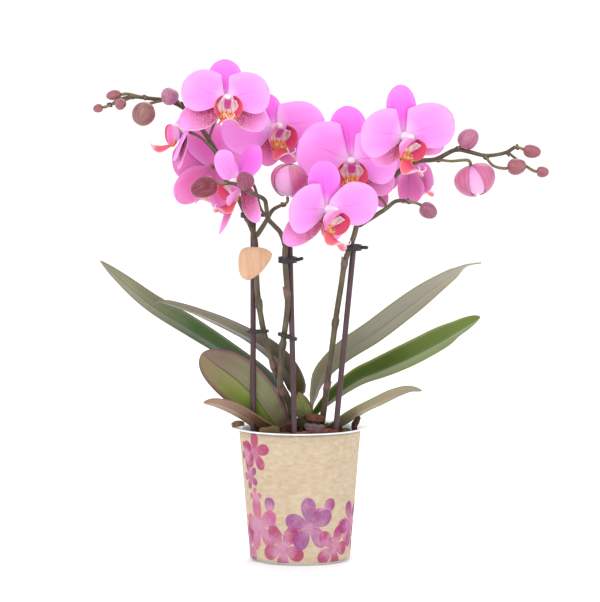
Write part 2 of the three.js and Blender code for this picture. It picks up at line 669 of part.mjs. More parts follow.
/** The way that a flower faces: its right, its up and its out direction. */
function facing({ turn, tilt, lean }) {
  const [a, b, c] = [turn, tilt, lean].map(THREE.MathUtils.degToRad);
  const out = new THREE.Vector3(Math.sin(a) * Math.cos(b), -Math.cos(a) * Math.cos(b), Math.sin(b));
  const level = new THREE.Vector3(Math.cos(a), Math.sin(a), 0);
  const upright = out.clone().cross(level);
  const up = upright.clone().multiplyScalar(Math.cos(c)).addScaledVector(level, Math.sin(c));
  const right = up.clone().cross(out);
  return { right, up, out };
}

/** Surface of one tepal in the flower's own frame: x right, y up, z out. */
function tepalSurface(tepal, size) {
  const at = THREE.MathUtils.degToRad(tepal.at);
  const [a0, a1] = tepal.lift.map(THREE.MathUtils.degToRad);
  const length = tepal.length * size;
  return (s, t) => {
    const slope = a0 + ((a1 - a0) * s) / 2;
    const rise = length * s * Math.sin(slope);
    const upper = tepal.shoulder && t * Math.cos(at) > 0;
    const half = halfWidth(s, upper ? { ...tepal, ...tepal.shoulder } : tepal) * size;
    const reach = TEPAL_ROOT + length * s * Math.cos(slope);
    const x = reach * Math.cos(at) - half * t * Math.sin(at);
    const y = reach * Math.sin(at) + half * t * Math.cos(at);
    return new THREE.Vector3(x, y, tepal.level + rise + tepal.cup * half * t * t);
  };
}

const TEPAL_ROWS = [0, 0.2, 0.5, 0.8, 0.985];
const PETAL_COLUMNS = [-1, -0.4, 0.4, 1];
const SEPAL_COLUMNS = [-1, 0, 1];

function makeColumn(grow) {
  const g = grow;
  return turned([[0, -HUB_REAR - g], [3.4 + g, -1.4], [2.8 + g, 4], [3.2 + g, 7.4 + g], [0, 9.6 + g]], 5);
}

function makeTepals({ size, tepals }, grow) {
  const blades = Object.entries(TEPALS).map(([name, usual]) => {
    const columns = name.startsWith('petal') ? PETAL_COLUMNS : SEPAL_COLUMNS;
    const surface = tepalSurface({ ...usual, ...tepals[name] }, size);
    return blade(surface, TEPAL_ROWS, columns, TEPAL_THICKNESS + 2 * grow);
  });
  return join([makeColumn(grow), ...blades]);
}

function ball(radii, place, around = 5, high = 3) {
  const geometry = new THREE.SphereGeometry(1, around, high);
  geometry.scale(...radii);
  geometry.translate(...place);
  return toSolid(geometry);
}

/** The lip in the flower's frame: a bowl under the column, a callus, two side lobes and the mid-lobe. */
function makeLip(flower) {
  const { size, lip } = flower;
  const bowl = blade((s, t) => {
    const y = -2.5 - 13.5 * s;
    const half = 3 + 4.5 * Math.sin(Math.PI * Math.min(1, 0.15 + 0.75 * s));
    return new THREE.Vector3(half * t, y, 2.6 + 3.4 * t * t + 4 * (2 * s - 0.9) ** 2);
  }, [0, 0.5, 1], [-1, 0, 1], LIP_THICKNESS);
  const lobe = blade((s, t) => {
    const turn = THREE.MathUtils.degToRad(-55 + 115 * s);
    const half = halfWidth(s, { width: 9.6, claw: 0.55, widest: 0.42 });
    const reach = 8.8 + 0.34 * half * t;
    return new THREE.Vector3(reach * Math.cos(turn), -8.8 + reach * Math.sin(turn), 8 + s + half * t);
  }, [0, 0.45, 0.96], [-1, 0, 1], LIP_THICKNESS);
  const middle = blade((s, t) => {
    const half = s < 0.45 ? 2.4 + 7.6 * s : 5.8 - 8.7 * (s - 0.45);
    const y = -14.5 - 10 * s - 1.5 * Math.sin(Math.PI * s) - 0.05 * (half * t) ** 2;
    return new THREE.Vector3(half * t, y, 6 + 17.5 * s);
  }, [0, 0.45, 1], [-1, 0, 1], LIP_THICKNESS);
  const mirror = new THREE.Matrix4().makeScale(-1, 1, 1);
  const callus = ball([3.6, 3, 2.8], [0, -14, 8], 4);
  const parts = [bowl, callus, lobe, moved(lobe, mirror), middle];
  const turn = new THREE.Matrix4().makeRotationZ(-THREE.MathUtils.degToRad(lip));
  const whole = moved(join(parts), turn.scale(new THREE.Vector3(size, size, size)));
  return largest(carve(whole, [makeTepals(flower, CLEARANCE)]));
}

/** Bud with its tip along +Z: an egg with three low seams, or in an opening bud with parting sepals. */
function makeBud({ length, width, opening }) {
  const geometry = new THREE.SphereGeometry(1, opening ? 6 : 9, opening ? 4 : 5);
  geometry.rotateX(Math.PI / 2);
  const place = geometry.getAttribute('position');
  for (let i = 0; i < place.count; i += 1) {
    const [x, y, z] = [place.getX(i), place.getY(i), place.getZ(i)];
    const seam = opening ? 0.8 : 1 + 0.06 * Math.cos(3 * Math.atan2(y, x));
    const girth = (width / 2) * seam * (1 - 0.14 * z);
    place.setXYZ(i, x * girth, y * girth, (z * length) / 2);
  }
  const body = toSolid(geometry);
  if (!opening) return body;
  const sepals = [60, 180, 300].map((at) => blade((s, t) => {
    const lean = Math.PI * (0.1 + 0.8 * s);
    const angle = THREE.MathUtils.degToRad(at + 54 * t * Math.sin(Math.PI * (0.2 + 0.7 * s)) ** 0.7);
    const reach = (width / 2) * Math.sin(lean) * (1 + 0.1 * Math.cos(lean));
    const z = (-length / 2) * Math.cos(lean) * 0.98;
    return new THREE.Vector3(reach * Math.cos(angle), reach * Math.sin(angle), z);
  }, [0, 0.35, 0.7, 1], [-1, 0, 1], TEPAL_THICKNESS));
  return join([body, ...sepals]);
}

// ---- spikes ----

function flowerBase(name) {
  const flower = FLOWERS[name];
  const { out } = facing(flower);
  const centre = new THREE.Vector3(...flower.centre);
  const back = (distance) => centre.clone().addScaledVector(out, -distance).toArray();
  return [back(HUB_REAR + PEDICEL_STRAIGHT), back(HUB_REAR + CLEARANCE)];
}

function budAxis({ centre, from }) {
  return new THREE.Vector3(...centre).sub(new THREE.Vector3(...from)).normalize();
}

function budBase(name) {
  const bud = BUDS[name];
  const end = new THREE.Vector3(...bud.centre).addScaledVector(budAxis(bud), -(bud.length / 2 + CLEARANCE));
  return [bud.from, end.toArray()];
}

function makeSpike(spike, grow) {
  const solids = [rod(spike.stem, STEM_RADIUS + grow, STEM_SIDES, STEM_STEP)];
  spike.twigs.forEach((points) => solids.push(rod(points, TWIG_RADIUS + grow, TWIG_SIDES)));
  spike.pedicels.forEach(({ points, flower, bud }) => {
    const last = flower ? flowerBase(flower) : budBase(bud);
    solids.push(rod([...points, ...last], PEDICEL_RADIUS + grow, PEDICEL_SIDES));
  });
  const path = curveThrough(spike.stem);
  spike.nodes.forEach((u) => {
    const radius = STEM_RADIUS + NODE_SWELL + grow;
    const ring = new THREE.CylinderGeometry(STEM_RADIUS + grow, radius, NODE_LENGTH, STEM_SIDES);
    ring.rotateX(Math.PI / 2);
    solids.push(moved(toSolid(ring), standing(path.getPointAt(u), path.getTangentAt(u))));
  });
  return join(solids);
}

// ---- assembly ----

const orchid = new THREE.Group();

function add(name, solid, look, parent = orchid) {
  const mesh = new THREE.Mesh(toGeometry(solid), finish(look));
  mesh.name = name;
  parent.add(mesh);
  return mesh;
}

const grownCrowns = Object.values(CROWNS).map((crown) => makeCrown(crown, CLEARANCE));
const grownSticks = Object.values(STICKS).map((ends) => makeStick(ends, CLEARANCE));

add('pot', makePot(), COLOURS.potWhite);
add('label_sleeve', makeSleeve(), COLOURS.paper);

for (const [name, crown] of Object.entries(CROWNS)) add(`crown_${name}`, makeCrown(crown, 0), COLOURS.crown);
for (const [name, ends] of Object.entries(STICKS)) add(`stick_${name}`, makeStick(ends, 0), COLOURS.stick);

const spikeTools = [];
for (const [name, spike] of Object.entries(SPIKES)) {
  add(`spike_${name}`, largest(carve(makeSpike(spike, 0), grownCrowns)), COLOURS.stem);
  spikeTools.push(makeSpike(spike, CLEARANCE));
}

const leafTools = [];
for (const [name, leaf] of Object.entries(LEAVES)) {
  const cutters = [...grownCrowns, ...grownSticks, ...spikeTools, ...leafTools];
  add(`leaf_${name}`, largest(carve(makeLeaf(leaf, 0), cutters)), COLOURS.leafGreen);
  leafTools.push(makeLeaf(leaf, CLEARANCE));
}

add('bark', makeBark([...grownCrowns, ...grownSticks, ...spikeTools, ...leafTools]), COLOURS.bark);

for (const [name, clip] of Object.entries(CLIPS)) {
  add(`clip_${name}`, largest(carve(makeClip(clip), [...grownSticks, ...spikeTools])), COLOURS.clip);
}
add('tag', makeTag(), COLOURS.tag);

for (const [name, flower] of Object.entries(FLOWERS)) {
  const { right, up, out } = facing(flower);
  const head = new THREE.Group();
  head.position.set(...flower.centre);
  head.quaternion.setFromRotationMatrix(new THREE.Matrix4().makeBasis(right, up, out));
  add(`flower_${name}_tepals`, makeTepals(flower, 0), COLOURS.petal, head);
  add(`flower_${name}_lip`, makeLip(flower), COLOURS.lip, head);
  orchid.add(head);
}

for (const [name, bud] of Object.entries(BUDS)) {
  const mesh = add(`bud_${name}`, makeBud(bud), COLOURS.bud);
  mesh.applyMatrix4(standing(new THREE.Vector3(...bud.centre), budAxis(bud)));
}

export default orchid;
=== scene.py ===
"""Looks of the potted miniature moth orchid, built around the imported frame.

Lengths are in millimetres until a mesh is written out in metres. +Z is up, and the photograph looks
along +Y.
"""

import math
import random

import bmesh
import bpy
import numpy as np
from mathutils import Matrix, Vector
from mathutils.geometry import delaunay_2d_cdt


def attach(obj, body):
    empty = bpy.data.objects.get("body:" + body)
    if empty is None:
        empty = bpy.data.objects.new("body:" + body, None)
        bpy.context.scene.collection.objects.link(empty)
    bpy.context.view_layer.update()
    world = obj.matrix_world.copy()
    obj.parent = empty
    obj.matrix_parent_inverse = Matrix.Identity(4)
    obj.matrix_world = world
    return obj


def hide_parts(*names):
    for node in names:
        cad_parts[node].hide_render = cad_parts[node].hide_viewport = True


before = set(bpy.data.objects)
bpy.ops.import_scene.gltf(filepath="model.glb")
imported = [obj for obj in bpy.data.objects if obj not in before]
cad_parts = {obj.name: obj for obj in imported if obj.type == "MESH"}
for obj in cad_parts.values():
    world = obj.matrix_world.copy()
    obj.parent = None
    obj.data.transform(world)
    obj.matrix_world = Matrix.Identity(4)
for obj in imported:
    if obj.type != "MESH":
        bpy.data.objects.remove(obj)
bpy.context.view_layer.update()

MM = 0.001

# ---- the camera, as in the photograph, and the studio in metres and watts ----

IMAGE_HEIGHT = 602
CAMERA_DISTANCE = 3000.0
CAMERA_HEIGHT = 456.0
AIM_HEIGHT = 184.7
FOCAL_PIXELS = 4242.0
SENSOR = 36.0

FLOOR_REACH = 4.0
WORLD_STRENGTH = 1.12
LIGHT_AIM = (0, 0, 0.19)
LIGHTS = {
    "key": dict(place=(-1.2, -1.6, 1.6), size=1.0, power=14),
    "fill": dict(place=(1.6, -1.4, 0.9), size=1.4, power=6),
    "rim": dict(place=(0.4, 1.6, 1.4), size=1.0, power=9),
}

# ---- sizes of the made things ----

POT_HEIGHT = 95.4
POT_TOP_RADIUS = 42.5
POT_BASE_RADIUS = 34.5
POT_WALL = 1.2
POT_FLOOR = 2.4
POT_SIDES = 128
POT_CORNER = 2.5
FLANGE_RADIUS = 48.0
FLANGE_THICKNESS = 1.0
FLANGE_RISE = 0.7
DRAIN_RADIUS = 3.0
DRAIN_CIRCLE = 22.0
DRAIN_COUNT = 6
DRAIN_SIDES = 24

SLEEVE_PAPER = 0.55
SLEEVE_GAP = 0.42
SLEEVE_BOTTOM = 1.8
SLEEVE_TOP = 93.2
SLEEVE_SIDES = 240
SLEEVE_ROWS = 60
CRINKLE = 0.045
SEAM_RISE = 0.35             # the paper's overlap at the back

BARK_EDGE = 89.0
BARK_HEAP = 8.0
CHIP_GRID = (9, 6, 4)        # stations along, across and through a chip
LOOSE_CHIPS = 170
CHIP_TURN = 2.39996          # the golden angle, from one loose chip to the next
CHIP_REACH = 34.6
MOSSY_SHARE = 0.12

STICK_RADIUS = 2.0
STEM_RADIUS = 2.25
STEM_TIP = 0.8               # share of the stem's radius that is left at its tip
NODE_RISE = 0.55
TWIG_RADIUS = 1.5
PEDICEL_RADIUS = 1.05

LEAF_THICKNESS = 1.6
TEPAL_THICKNESS = 0.7
TEPAL_ROOT = 1.5
LIP_THICKNESS = 0.75
BUD_SEPAL_THICKNESS = 0.8
HUB_REAR = 3.0
PETAL_GAP = 1.7              # from the flower's middle line to the upper edge of each petal
PETAL_SPREAD = 0.13          # and how much that grows with each millimetre of height
PETAL_OPENS = 0.17           # the share of its length in which a petal's upper side opens out
COLUMN_LENGTH = 9.6
LIP_CENTRE = (-7.4, 8.8)     # how far the ring of the side lobes lies up from the flower's middle, and out
LIP_BOW = 30.0
BLUNT = 0.86                 # power that rounds the ends of a bud

CROWN_RADIUS = 6.0
CROWN_BOTTOM = 74.0
CROWN_TOP = 103.0

CLIP_WALL = 1.3
CLIP_STEPS = 20
CLIP_BEVEL = 0.3
GRIP_DEPTH = 3.0
GRIP_HEIGHT = 2.6
TAG_THICKNESS = 1.2
TAG_BEVEL = 0.3

# ---- how finely the pieces are meshed: rows and columns, or sides of a tube and its spacing ----

LEAF_GRID = (72, 33)
TEPAL_GRID = (44, 29)
LOBE_GRID = (28, 19)
MIDDLE_ROWS = 32
BOWL_ROWS = 24
BUD_GRID = (30, 48)
BUD_SEPAL_GRID = (32, 25)
BRACT_GRID = (12, 13)
COLUMN_GRID = (28, 32)
CROWN_GRID = (26, 40)
HEAP_GRID = (18, 64)
STEM_MESH = (18, 1.5)
TWIG_MESH = (14, 1.3)
STALK_MESH = (12, 1.2)
STICK_MESH = (24, 3)
GRIP_MESH = (16, 0.6)
RIDGE_MESH = (10, 0.6)
TENDRIL_MESH = (8, 0.6)

# ---- seeds, and what the looks read of each kind of part ----

SLEEVE_SEED = 5
CHIP_SEED = 3
PRINT_SEED = 11
# The heap's shade is painted shade in the gaps under the chips.
HEAP_KIND = (0.2, 0.45, 0)         # hue, shade and moss of the bark
BUD_STALK_KIND = (0.45, 0.1, 0)    # how young a stem is, and how near a node
FLOWER_STALK_KIND = (0.25, 0.35, 0)
BRACT_KIND = (0.1, 0.9, 0)

# ---- flowers ----

# A petal's upper side opens out at once from its claw and is broadest nearer its root.
SHOULDER = dict(claw=0.3, widest=0.42)
PETAL = dict(length=34, width=34, claw=0.16, widest=0.6, level=0.9, lift=(16, -6), cup=-0.06)
SEPAL = dict(length=36, width=22, claw=0.28, widest=0.5, level=-1.1, lift=(-4, -12), cup=0.04)
TEPALS = {
    "petal_right": dict(PETAL, at=14),
    "petal_left": dict(PETAL, at=166),
    "dorsal": dict(at=90, length=34, width=24, claw=0.25, widest=0.55, level=-1.1, lift=(-1, 3), cup=0.05),
    "sepal_right": dict(SEPAL, at=-50),
    "sepal_left": dict(SEPAL, at=-130),
}

# Centre, the way that each flower faces, its size, how its lip leans and how lip and column turn to the
# side, how fast its petals' upper edges spread if not as usual, and its own tepals.
FLOWERS = {
    "top_left": dict(
        centre=(-51.6, -24, 327.7), turn=3, tilt=24, lean=-2, size=0.98, lip=(2, 4), spread=0.05,
        petal_right=dict(at=16, length=30, width=34),
        petal_left=dict(at=155, length=32, width=34),
        dorsal=dict(length=31),
        sepal_right=dict(at=-34, length=32),
        sepal_left=dict(at=-156, length=36),
    ),
    "far_left": dict(
        centre=(-80.3, -7, 306.2), turn=-84, tilt=25, lean=0, size=0.88, lip=(0, 0),
        petal_right=dict(at=-45, length=30, width=26, lift=(6, -10)),
        petal_left=dict(at=190, length=26, width=28, lift=(24, 10)),
        sepal_left=dict(length=32),
        dorsal=dict(at=96, length=18, width=16, lift=(22, 16)),
    ),
    "back_left": dict(
        centre=(-63.1, 24, 278), turn=-150, tilt=-10, lean=0, size=0.95, lip=(0, 0),
        petal_right=dict(at=22, length=31, width=30),
        dorsal=dict(at=86, width=37),
        sepal_right=dict(at=-33, length=42, width=24),
        sepal_left=dict(at=-102),
    ),
    "upper_centre": dict(
        centre=(-18.2, 18, 306.9), turn=10, tilt=12, lean=-8, size=1.05, lip=(8, 18),
        petal_right=dict(at=0, length=33, width=31),
        petal_left=dict(at=178, length=36, width=32),
        dorsal=dict(at=102, length=23, width=20),
        sepal_right=dict(at=-66, length=26, width=20),
        sepal_left=dict(at=-112, length=25, width=18),
    ),
    "low_left": dict(
        centre=(-41.3, -34, 271), turn=-55, tilt=8, lean=0, size=0.9, lip=(0, 0),
        petal_right=dict(at=-38, length=29, width=22, lift=(22, 74)),
        petal_left=dict(at=130, length=29, width=26, lift=(30, 20)),
        dorsal=dict(at=80, length=30, width=30, lift=(-15, -10)),
        sepal_right=dict(at=-58, length=33, width=20, lift=(-12, -10)),
        sepal_left=dict(at=-100, length=42, width=10, lift=(18, 12)),
    ),
    "centre": dict(
        centre=(36.3, -8, 284.3), turn=-4, tilt=8, lean=-6, size=1.12, lip=(6, 5),
        petal_right=dict(at=2, length=28, width=34),
        petal_left=dict(at=151, length=34, width=38),
        sepal_right=dict(at=-40, length=30),
        sepal_left=dict(at=-130, length=26),
    ),
    "front": dict(
        centre=(18.6, -42, 253), turn=26, tilt=-10, lean=-11, size=1.05, lip=(32, 28),
        petal_right=dict(at=0, length=35, width=31, opens=0.5),
        petal_left=dict(at=163, length=30, width=34, lift=(22, -2)),
        dorsal=dict(length=32),
        sepal_right=dict(at=-74, length=24, width=18),
        sepal_left=dict(at=-152, length=35, lift=(-4, -4)),
    ),
    "top_right": dict(
        centre=(72.4, -34, 303.7), turn=16, tilt=-8, lean=-7, size=1.03, lip=(18, 26),
        petal_right=dict(at=15, length=35, width=34),
        petal_left=dict(at=162, length=32, width=35, lift=(24, 0)),
        dorsal=dict(width=21),
        sepal_right=dict(at=-24, length=31, width=18),
        sepal_left=dict(at=-142, length=26, width=20),
    ),
    "back_right": dict(
        centre=(79.1, 18, 277), turn=128, tilt=6, lean=0, size=0.82, lip=(0, 0),
        petal_left=dict(at=205, length=26, width=26),
        dorsal=dict(length=26),
        sepal_left=dict(at=-104, length=28, width=30),
        sepal_right=dict(at=-72, length=29, width=22),
    ),
    "back_centre": dict(centre=(50, 17, 270), turn=150, tilt=0, lean=0, size=0.62, lip=(0, 0)),
}

BUDS = {
    "left_1": dict(centre=(-142.4, -9, 321.8), root=(-137, -9, 323), length=7, width=6.2),
    "left_2": dict(centre=(-126.4, -16, 325), root=(-125, -10, 327), length=8.5, width=8.2),
    "left_3": dict(centre=(-131.5, -4, 330.8), root=(-122, -6, 332), length=11, width=7.4),
    "left_4": dict(centre=(-110.2, -14, 318), root=(-106, -9, 325), length=17, width=16, corners=0.07),
    "left_5": dict(centre=(-91.9, -14, 330.5), root=(-90, -2, 331), length=13.5, width=12.5),
    "middle_1": dict(centre=(-66.7, -59, 269), root=(-58, -58.5, 272), length=19, width=14.5),
    "middle_2": dict(centre=(-38, -64.5, 274.5), root=(-38, -59.5, 270), length=13.5, width=12.5),
    "middle_3": dict(centre=(-8, -32, 272.4), root=(-9, -30, 257), length=23, width=24,
                     hangs=True, sepals=((26, 57, 0.5), (178, 33, 0.2), (285, 60, 0.0))),
    "right_1": dict(centre=(118.5, -16, 301), root=(112, -15, 294.5), length=15.5, width=14),
    "right_2": dict(centre=(123.4, -21, 272), root=(119, -20, 285.5), length=22, width=28,
                    hangs=False, sepals=((327, 64, 0.5), (190, 39, 0.2), (90, 60, 0.0))),
    "right_3": dict(centre=(163.5, -15, 292), root=(158, -15, 293), length=12.5, width=9.6),
    "right_4": dict(centre=(152.5, -19, 281.5), root=(144, -18, 280), length=13.5, width=11.6),
    "right_5": dict(centre=(171, -15, 277.5), root=(165, -15, 278), length=8.8, width=8),
    "right_6": dict(centre=(90.5, -21, 250.5), root=(84, -21, 255), length=13, width=11.4),
}

BUD_COLOURS = {
    "left_4": "#aa7f78", "left_5": "#c88aac", "middle_1": "#923e50", "middle_2": "#a85a78",
    "right_1": "#d28aab", "right_6": "#b4748e", "right_2": "#ee88b8", "middle_3": "#f48cbc",
}
SMALL_BUD_COLOUR = "#b8767e"

# ---- sticks and spikes ----

STICKS = {
    "left": ((-33.4, -9, 58), (-33, -14, 250)),
    "centre": ((-3, -34.5, 58), (-7.2, -17, 226)),
    "right": ((21.6, -24, 58), (38, -20, 227)),
}

SPIKES = {
    "left": dict(
        stem=[(-6, 0, 101), (-8, 0, 112), (-14, -4, 126), (-17.5, -8, 135), (-21.6, -11, 149),
              (-25.5, -14, 164), (-27.9, -17, 177), (-30.1, -20, 194), (-31, -20.8, 214),
              (-31.7, -20.5, 230), (-35.6, -19, 242), (-41, -9, 253), (-46, 3, 264), (-51, 11, 275),
              (-57.8, 13, 287)],
        twigs=[
            [(-57.8, 13, 287), (-64.8, 11, 299), (-70.4, 10, 307.6), (-79.5, 8, 319), (-90.7, 2, 326),
             (-106, -6, 328.8), (-117.4, -9, 330), (-125.8, -9, 328.5), (-133, -9, 324.5)],
            [(-31, -20.5, 232), (-25.7, -21.5, 240), (-22.9, -24, 245), (-19, -28, 251.5), (-13, -30, 255)],
        ],
        buds={"left_1": [(-133, -9, 324.5)], "left_2": [(-117.4, -9, 330)], "left_3": [(-108, -8, 329)],
              "left_4": [(-95, -1, 327.5)], "left_5": [(-83, 6, 322)], "middle_3": [(-13, -30, 255)]},
        flowers={"top_left": [(-64.8, 11, 299), (-60, 0, 312)], "far_left": [(-57.8, 13, 287)],
                 "back_left": [(-46, 3, 264)]},
        nodes=(0.2, 0.42, 0.72),
    ),
    "centre": dict(
        stem=[(-9, -4, 97), (-11.4, -5, 107), (-13.5, -8, 118), (-13.8, -12, 135), (-12.7, -16.5, 151),
              (-10.6, -22, 167), (-8.8, -26, 184), (-9.2, -25.5, 196), (-10.2, -24.5, 210),
              (-10.6, -23, 223), (-8.1, -17, 233), (-2.5, -8, 246), (3.2, 0, 264), (6, 9, 279)],
        twigs=[
            [(-10, -22, 225), (-13.7, -24, 235), (-18.6, -30, 241), (-22.4, -36, 246), (-23.5, -42, 254),
             (-24.8, -49, 260), (-31.1, -54, 264), (-37, -57, 266.6), (-43.6, -59, 271), (-50, -59, 272.6)],
        ],
        buds={"middle_1": [(-50, -59, 272.6)], "middle_2": [(-37, -57, 266.6)]},
        flowers={"low_left": [(-20.5, -33, 243.5), (-27, -36, 252)],
                 "upper_centre": [(6, 9, 279), (2, 25, 293)]},
        nodes=(0.12, 0.3, 0.5),
    ),
    "right": dict(
        stem=[(15.5, -5, 97), (17.7, -8, 113.5), (20.2, -11, 133), (23, -14, 155), (25.8, -17, 177),
              (28.9, -21.5, 197), (31.7, -24.5, 215), (35.2, -25.5, 225), (38.3, -25, 234),
              (40.5, -22, 242), (46.2, -8, 252.5), (56.2, 4, 262.5), (64.8, 6, 271), (73.2, 3, 279.5)],
        twigs=[
            [(73.2, 3, 279.5), (84.4, -4, 284.5), (95.6, -10, 286), (110.3, -14, 293), (119.4, -15, 291.5),
             (130, -15, 289), (138.4, -15, 289.5), (146, -15, 291.5), (152, -15, 295.5)],
            [(40.8, -22, 239.7), (52.5, -20, 246.6), (60.9, -20, 252), (67.2, -21, 257), (75, -21, 257.5)],
        ],
        buds={"right_1": [(110.3, -14, 293)], "right_2": [(95.6, -10, 286), (106, -15, 285)],
              "right_3": [(152, -15, 295.5)], "right_4": [(130, -15, 289), (136, -17, 282)],
              "right_5": [(146, -15, 291.5), (153, -12, 286)], "right_6": [(75, -21, 257.5)]},
        flowers={"front": [(40.5, -22, 242)], "centre": [(46.2, -8, 252.5)],
                 "top_right": [(64.8, 6, 271), (68, -4, 284)], "back_right": [(73.2, 3, 279.5)],
                 "back_centre": [(60.9, -20, 252), (59, -8, 256)]},
        nodes=(0.13, 0.35, 0.56),
    ),
}

# ---- leaves: the line along the middle, the width, the roll at even steps to the tip, and the fold ----

LEAVES = {
    "left_long": dict(
        spine=[(-6, 8, 102), (-14, 10, 119), (-28, 13, 131), (-54, 16, 148), (-79, 16, 164),
               (-107, 13, 182), (-128, 9, 200), (-142, 5, 213)],
        width=27, roll=(35, 36, 36), fold=14, widest=0.5, claw=0.6, taper=0.8),
    "left_upper": dict(
        spine=[(-2, 5, 102), (-3, 6, 122), (-12, 6, 139.5), (-27, 5, 153), (-47, 2, 164.5),
               (-68, -3, 174.5), (-87, -8, 182), (-99, -12, 185), (-107, -14, 182)],
        width=27, roll=(62, 36, 20, 14, 10), fold=12, widest=0.4, claw=0.5, taper=0.5),
    "left_front": dict(
        spine=[(-8, 1, 84), (-15, -6, 93), (-22, -8, 103), (-30, -8, 114.5), (-41, -9, 126),
               (-51, -11, 134.5), (-61, -14, 142), (-69, -16, 149)],
        width=34, roll=(75, 75, 70), fold=8, widest=0.62, claw=0.3, taper=0.5),
    "left_small": dict(
        spine=[(-9, 0, 85), (-21, -10, 92.5), (-32, -12, 100), (-43, -13, 107), (-54, -14, 112),
               (-62, -15, 114), (-68, -16, 114)],
        width=15, roll=(45, 40, 40), fold=10, widest=0.6, claw=0.6, taper=0.5),
    "right_upper": dict(
        spine=[(8, 4, 102), (10, 6, 116), (15, 8, 131), (31, 10, 147), (52, 10, 161), (73, 9, 177),
               (94, 7, 193), (110, 6, 204), (119, 6, 209.5), (129, 6, 211.5)],
        width=25, roll=(-55, -52, -50, -48, -46, -44, -42, -36, 10), fold=10,
        widest=0.55, claw=0.5, taper=0.75),
    "right_middle": dict(
        spine=[(8, 4, 100), (16, 5, 109), (29.5, 4, 120.5), (43, 2, 129.5), (56, -1, 135), (68, -4, 140.5),
               (81, -7, 147), (94, -9, 154), (107, -10, 161.5), (117, -9, 167.5), (127.5, -8, 174)],
        width=32, roll=(-35, -35, -35), fold=16, widest=0.72, claw=0.26, taper=0.55),
    "right_small": dict(
        spine=[(9, -1, 86), (21, -8, 93.5), (29.5, -9, 99.5), (43, -11, 108), (56, -12, 114.5),
               (68, -14, 120.5), (78, -16, 123.5), (86, -17, 122.5)],
        width=15, roll=(-35, -32, -32), fold=10, widest=0.6, claw=0.6, taper=0.5),
    "centre_young": dict(
        spine=[(5, -9, 99), (3, -10, 108), (1, -11, 115), (-1, -11, 121)],
        width=12, roll=(80, 80, 80), fold=12, widest=0.35, claw=0.7, taper=0.8),
}

# Colours of each leaf at base, middle and tip: of the half on the side of its +t edge, then of the other
# half; then of its margin and of the ridge along its middle. The halves differ partly by painted light and
# shade of the leaf's fold and partly as upper side and underside.
LEAF_COLOURS = {
    # left_long: its grey-beige tip is partly a painted sheen on the upper surface.
    "left_long": (
        ("#4c5e2c", "#4c6c24", "#aca78a"),
        ("#48592a", "#486620", "#b0aa90"),
        "#8e8466", "#364620"),
    # left_upper: its pale greys are partly a painted sheen on the upper side; its brownish pinks are the
    # underside's own colour.
    "left_upper": (
        ("#6e6448", "#a0957e", "#8a8668"),
        ("#8a6e62", "#dccfc4", "#bcb4a4"),
        "#96807a", "#74644e"),
    "left_front": (
        ("#8a8060", "#9c9e74", "#9c8678"),
        ("#74883c", "#a2b660", "#a49472"),
        "#8a5e6c", "#5a4a42"),
    "left_small": (
        ("#5e543a", "#8a6a56", "#c8a08c"),
        ("#6e6242", "#ac8a74", "#d8baa8"),
        "#ac7f78", "#5e4a46"),
    "right_upper": (
        ("#a69a78", "#d0c8b2", "#d0c4b0"),
        ("#a2967a", "#cec6b6", "#d2c8bc"),
        "#a0aa70", "#8e886a"),
    "right_middle": (
        ("#84904a", "#90a066", "#8ca05c"),
        ("#5c7a34", "#5c7036", "#7f9344"),
        "#9ea05a", "#465c26"),
    "right_small": (
        ("#6a5c44", "#c8ba96", "#bca68c"),
        ("#5a4e38", "#b4a884", "#c8b89c"),
        "#96a460", "#807258"),
    "centre_young": (
        ("#838a54", "#989e62", "#9a9c60"),
        ("#68663f", "#8c925a", "#909258"),
        "#664e40", "#66663e"),
    "crown": (
        ("#7f6f3a", "#7a7440", "#6c6a3c"),
        ("#6c5c34", "#74683a", "#67603a"),
        "#6a5040", "#5a4a34"),
}

CROWNS = {"left": (-8, 2), "right": (8, 0)}

# Clips: centre, outer length and depth, height, slope to the side, and how far the grip reaches and rises.
CLIPS = {
    "left_lower": dict(centre=(-30, -15, 164.5), length=16.5, depth=11, height=1.8,
             slope=-3, grip=(0, 0)),
    "left_upper": dict(centre=(-35, -16.5, 247), length=14, depth=12, height=3.6,
             slope=0, grip=(4, 0)),
    "centre_lower": dict(centre=(-8.8, -21, 161.5), length=14.5, depth=12, height=2.4,
             slope=17, grip=(0, 0)),
    "centre_upper": dict(centre=(-8.7, -20.8, 215.8), length=13.5, depth=13, height=4.4,
             slope=0, grip=(4.6, 14)),
    "right_upper": dict(centre=(36.8, -22.8, 224.6), length=13.5, depth=13, height=4.4,
             slope=0, grip=(4.6, 0)),
}

TAG_CENTRE = (-32.6, -23.4, 213.5)
TAG_OUTLINE = [(-8.2, 10.1), (2.8, 11.4), (10.3, 9.4), (13, 6.1), (6.7, -4.7), (0.9, -9.7), (-4.1, -11.9),
               (-8.6, -9.7), (-10.9, -0.4)]

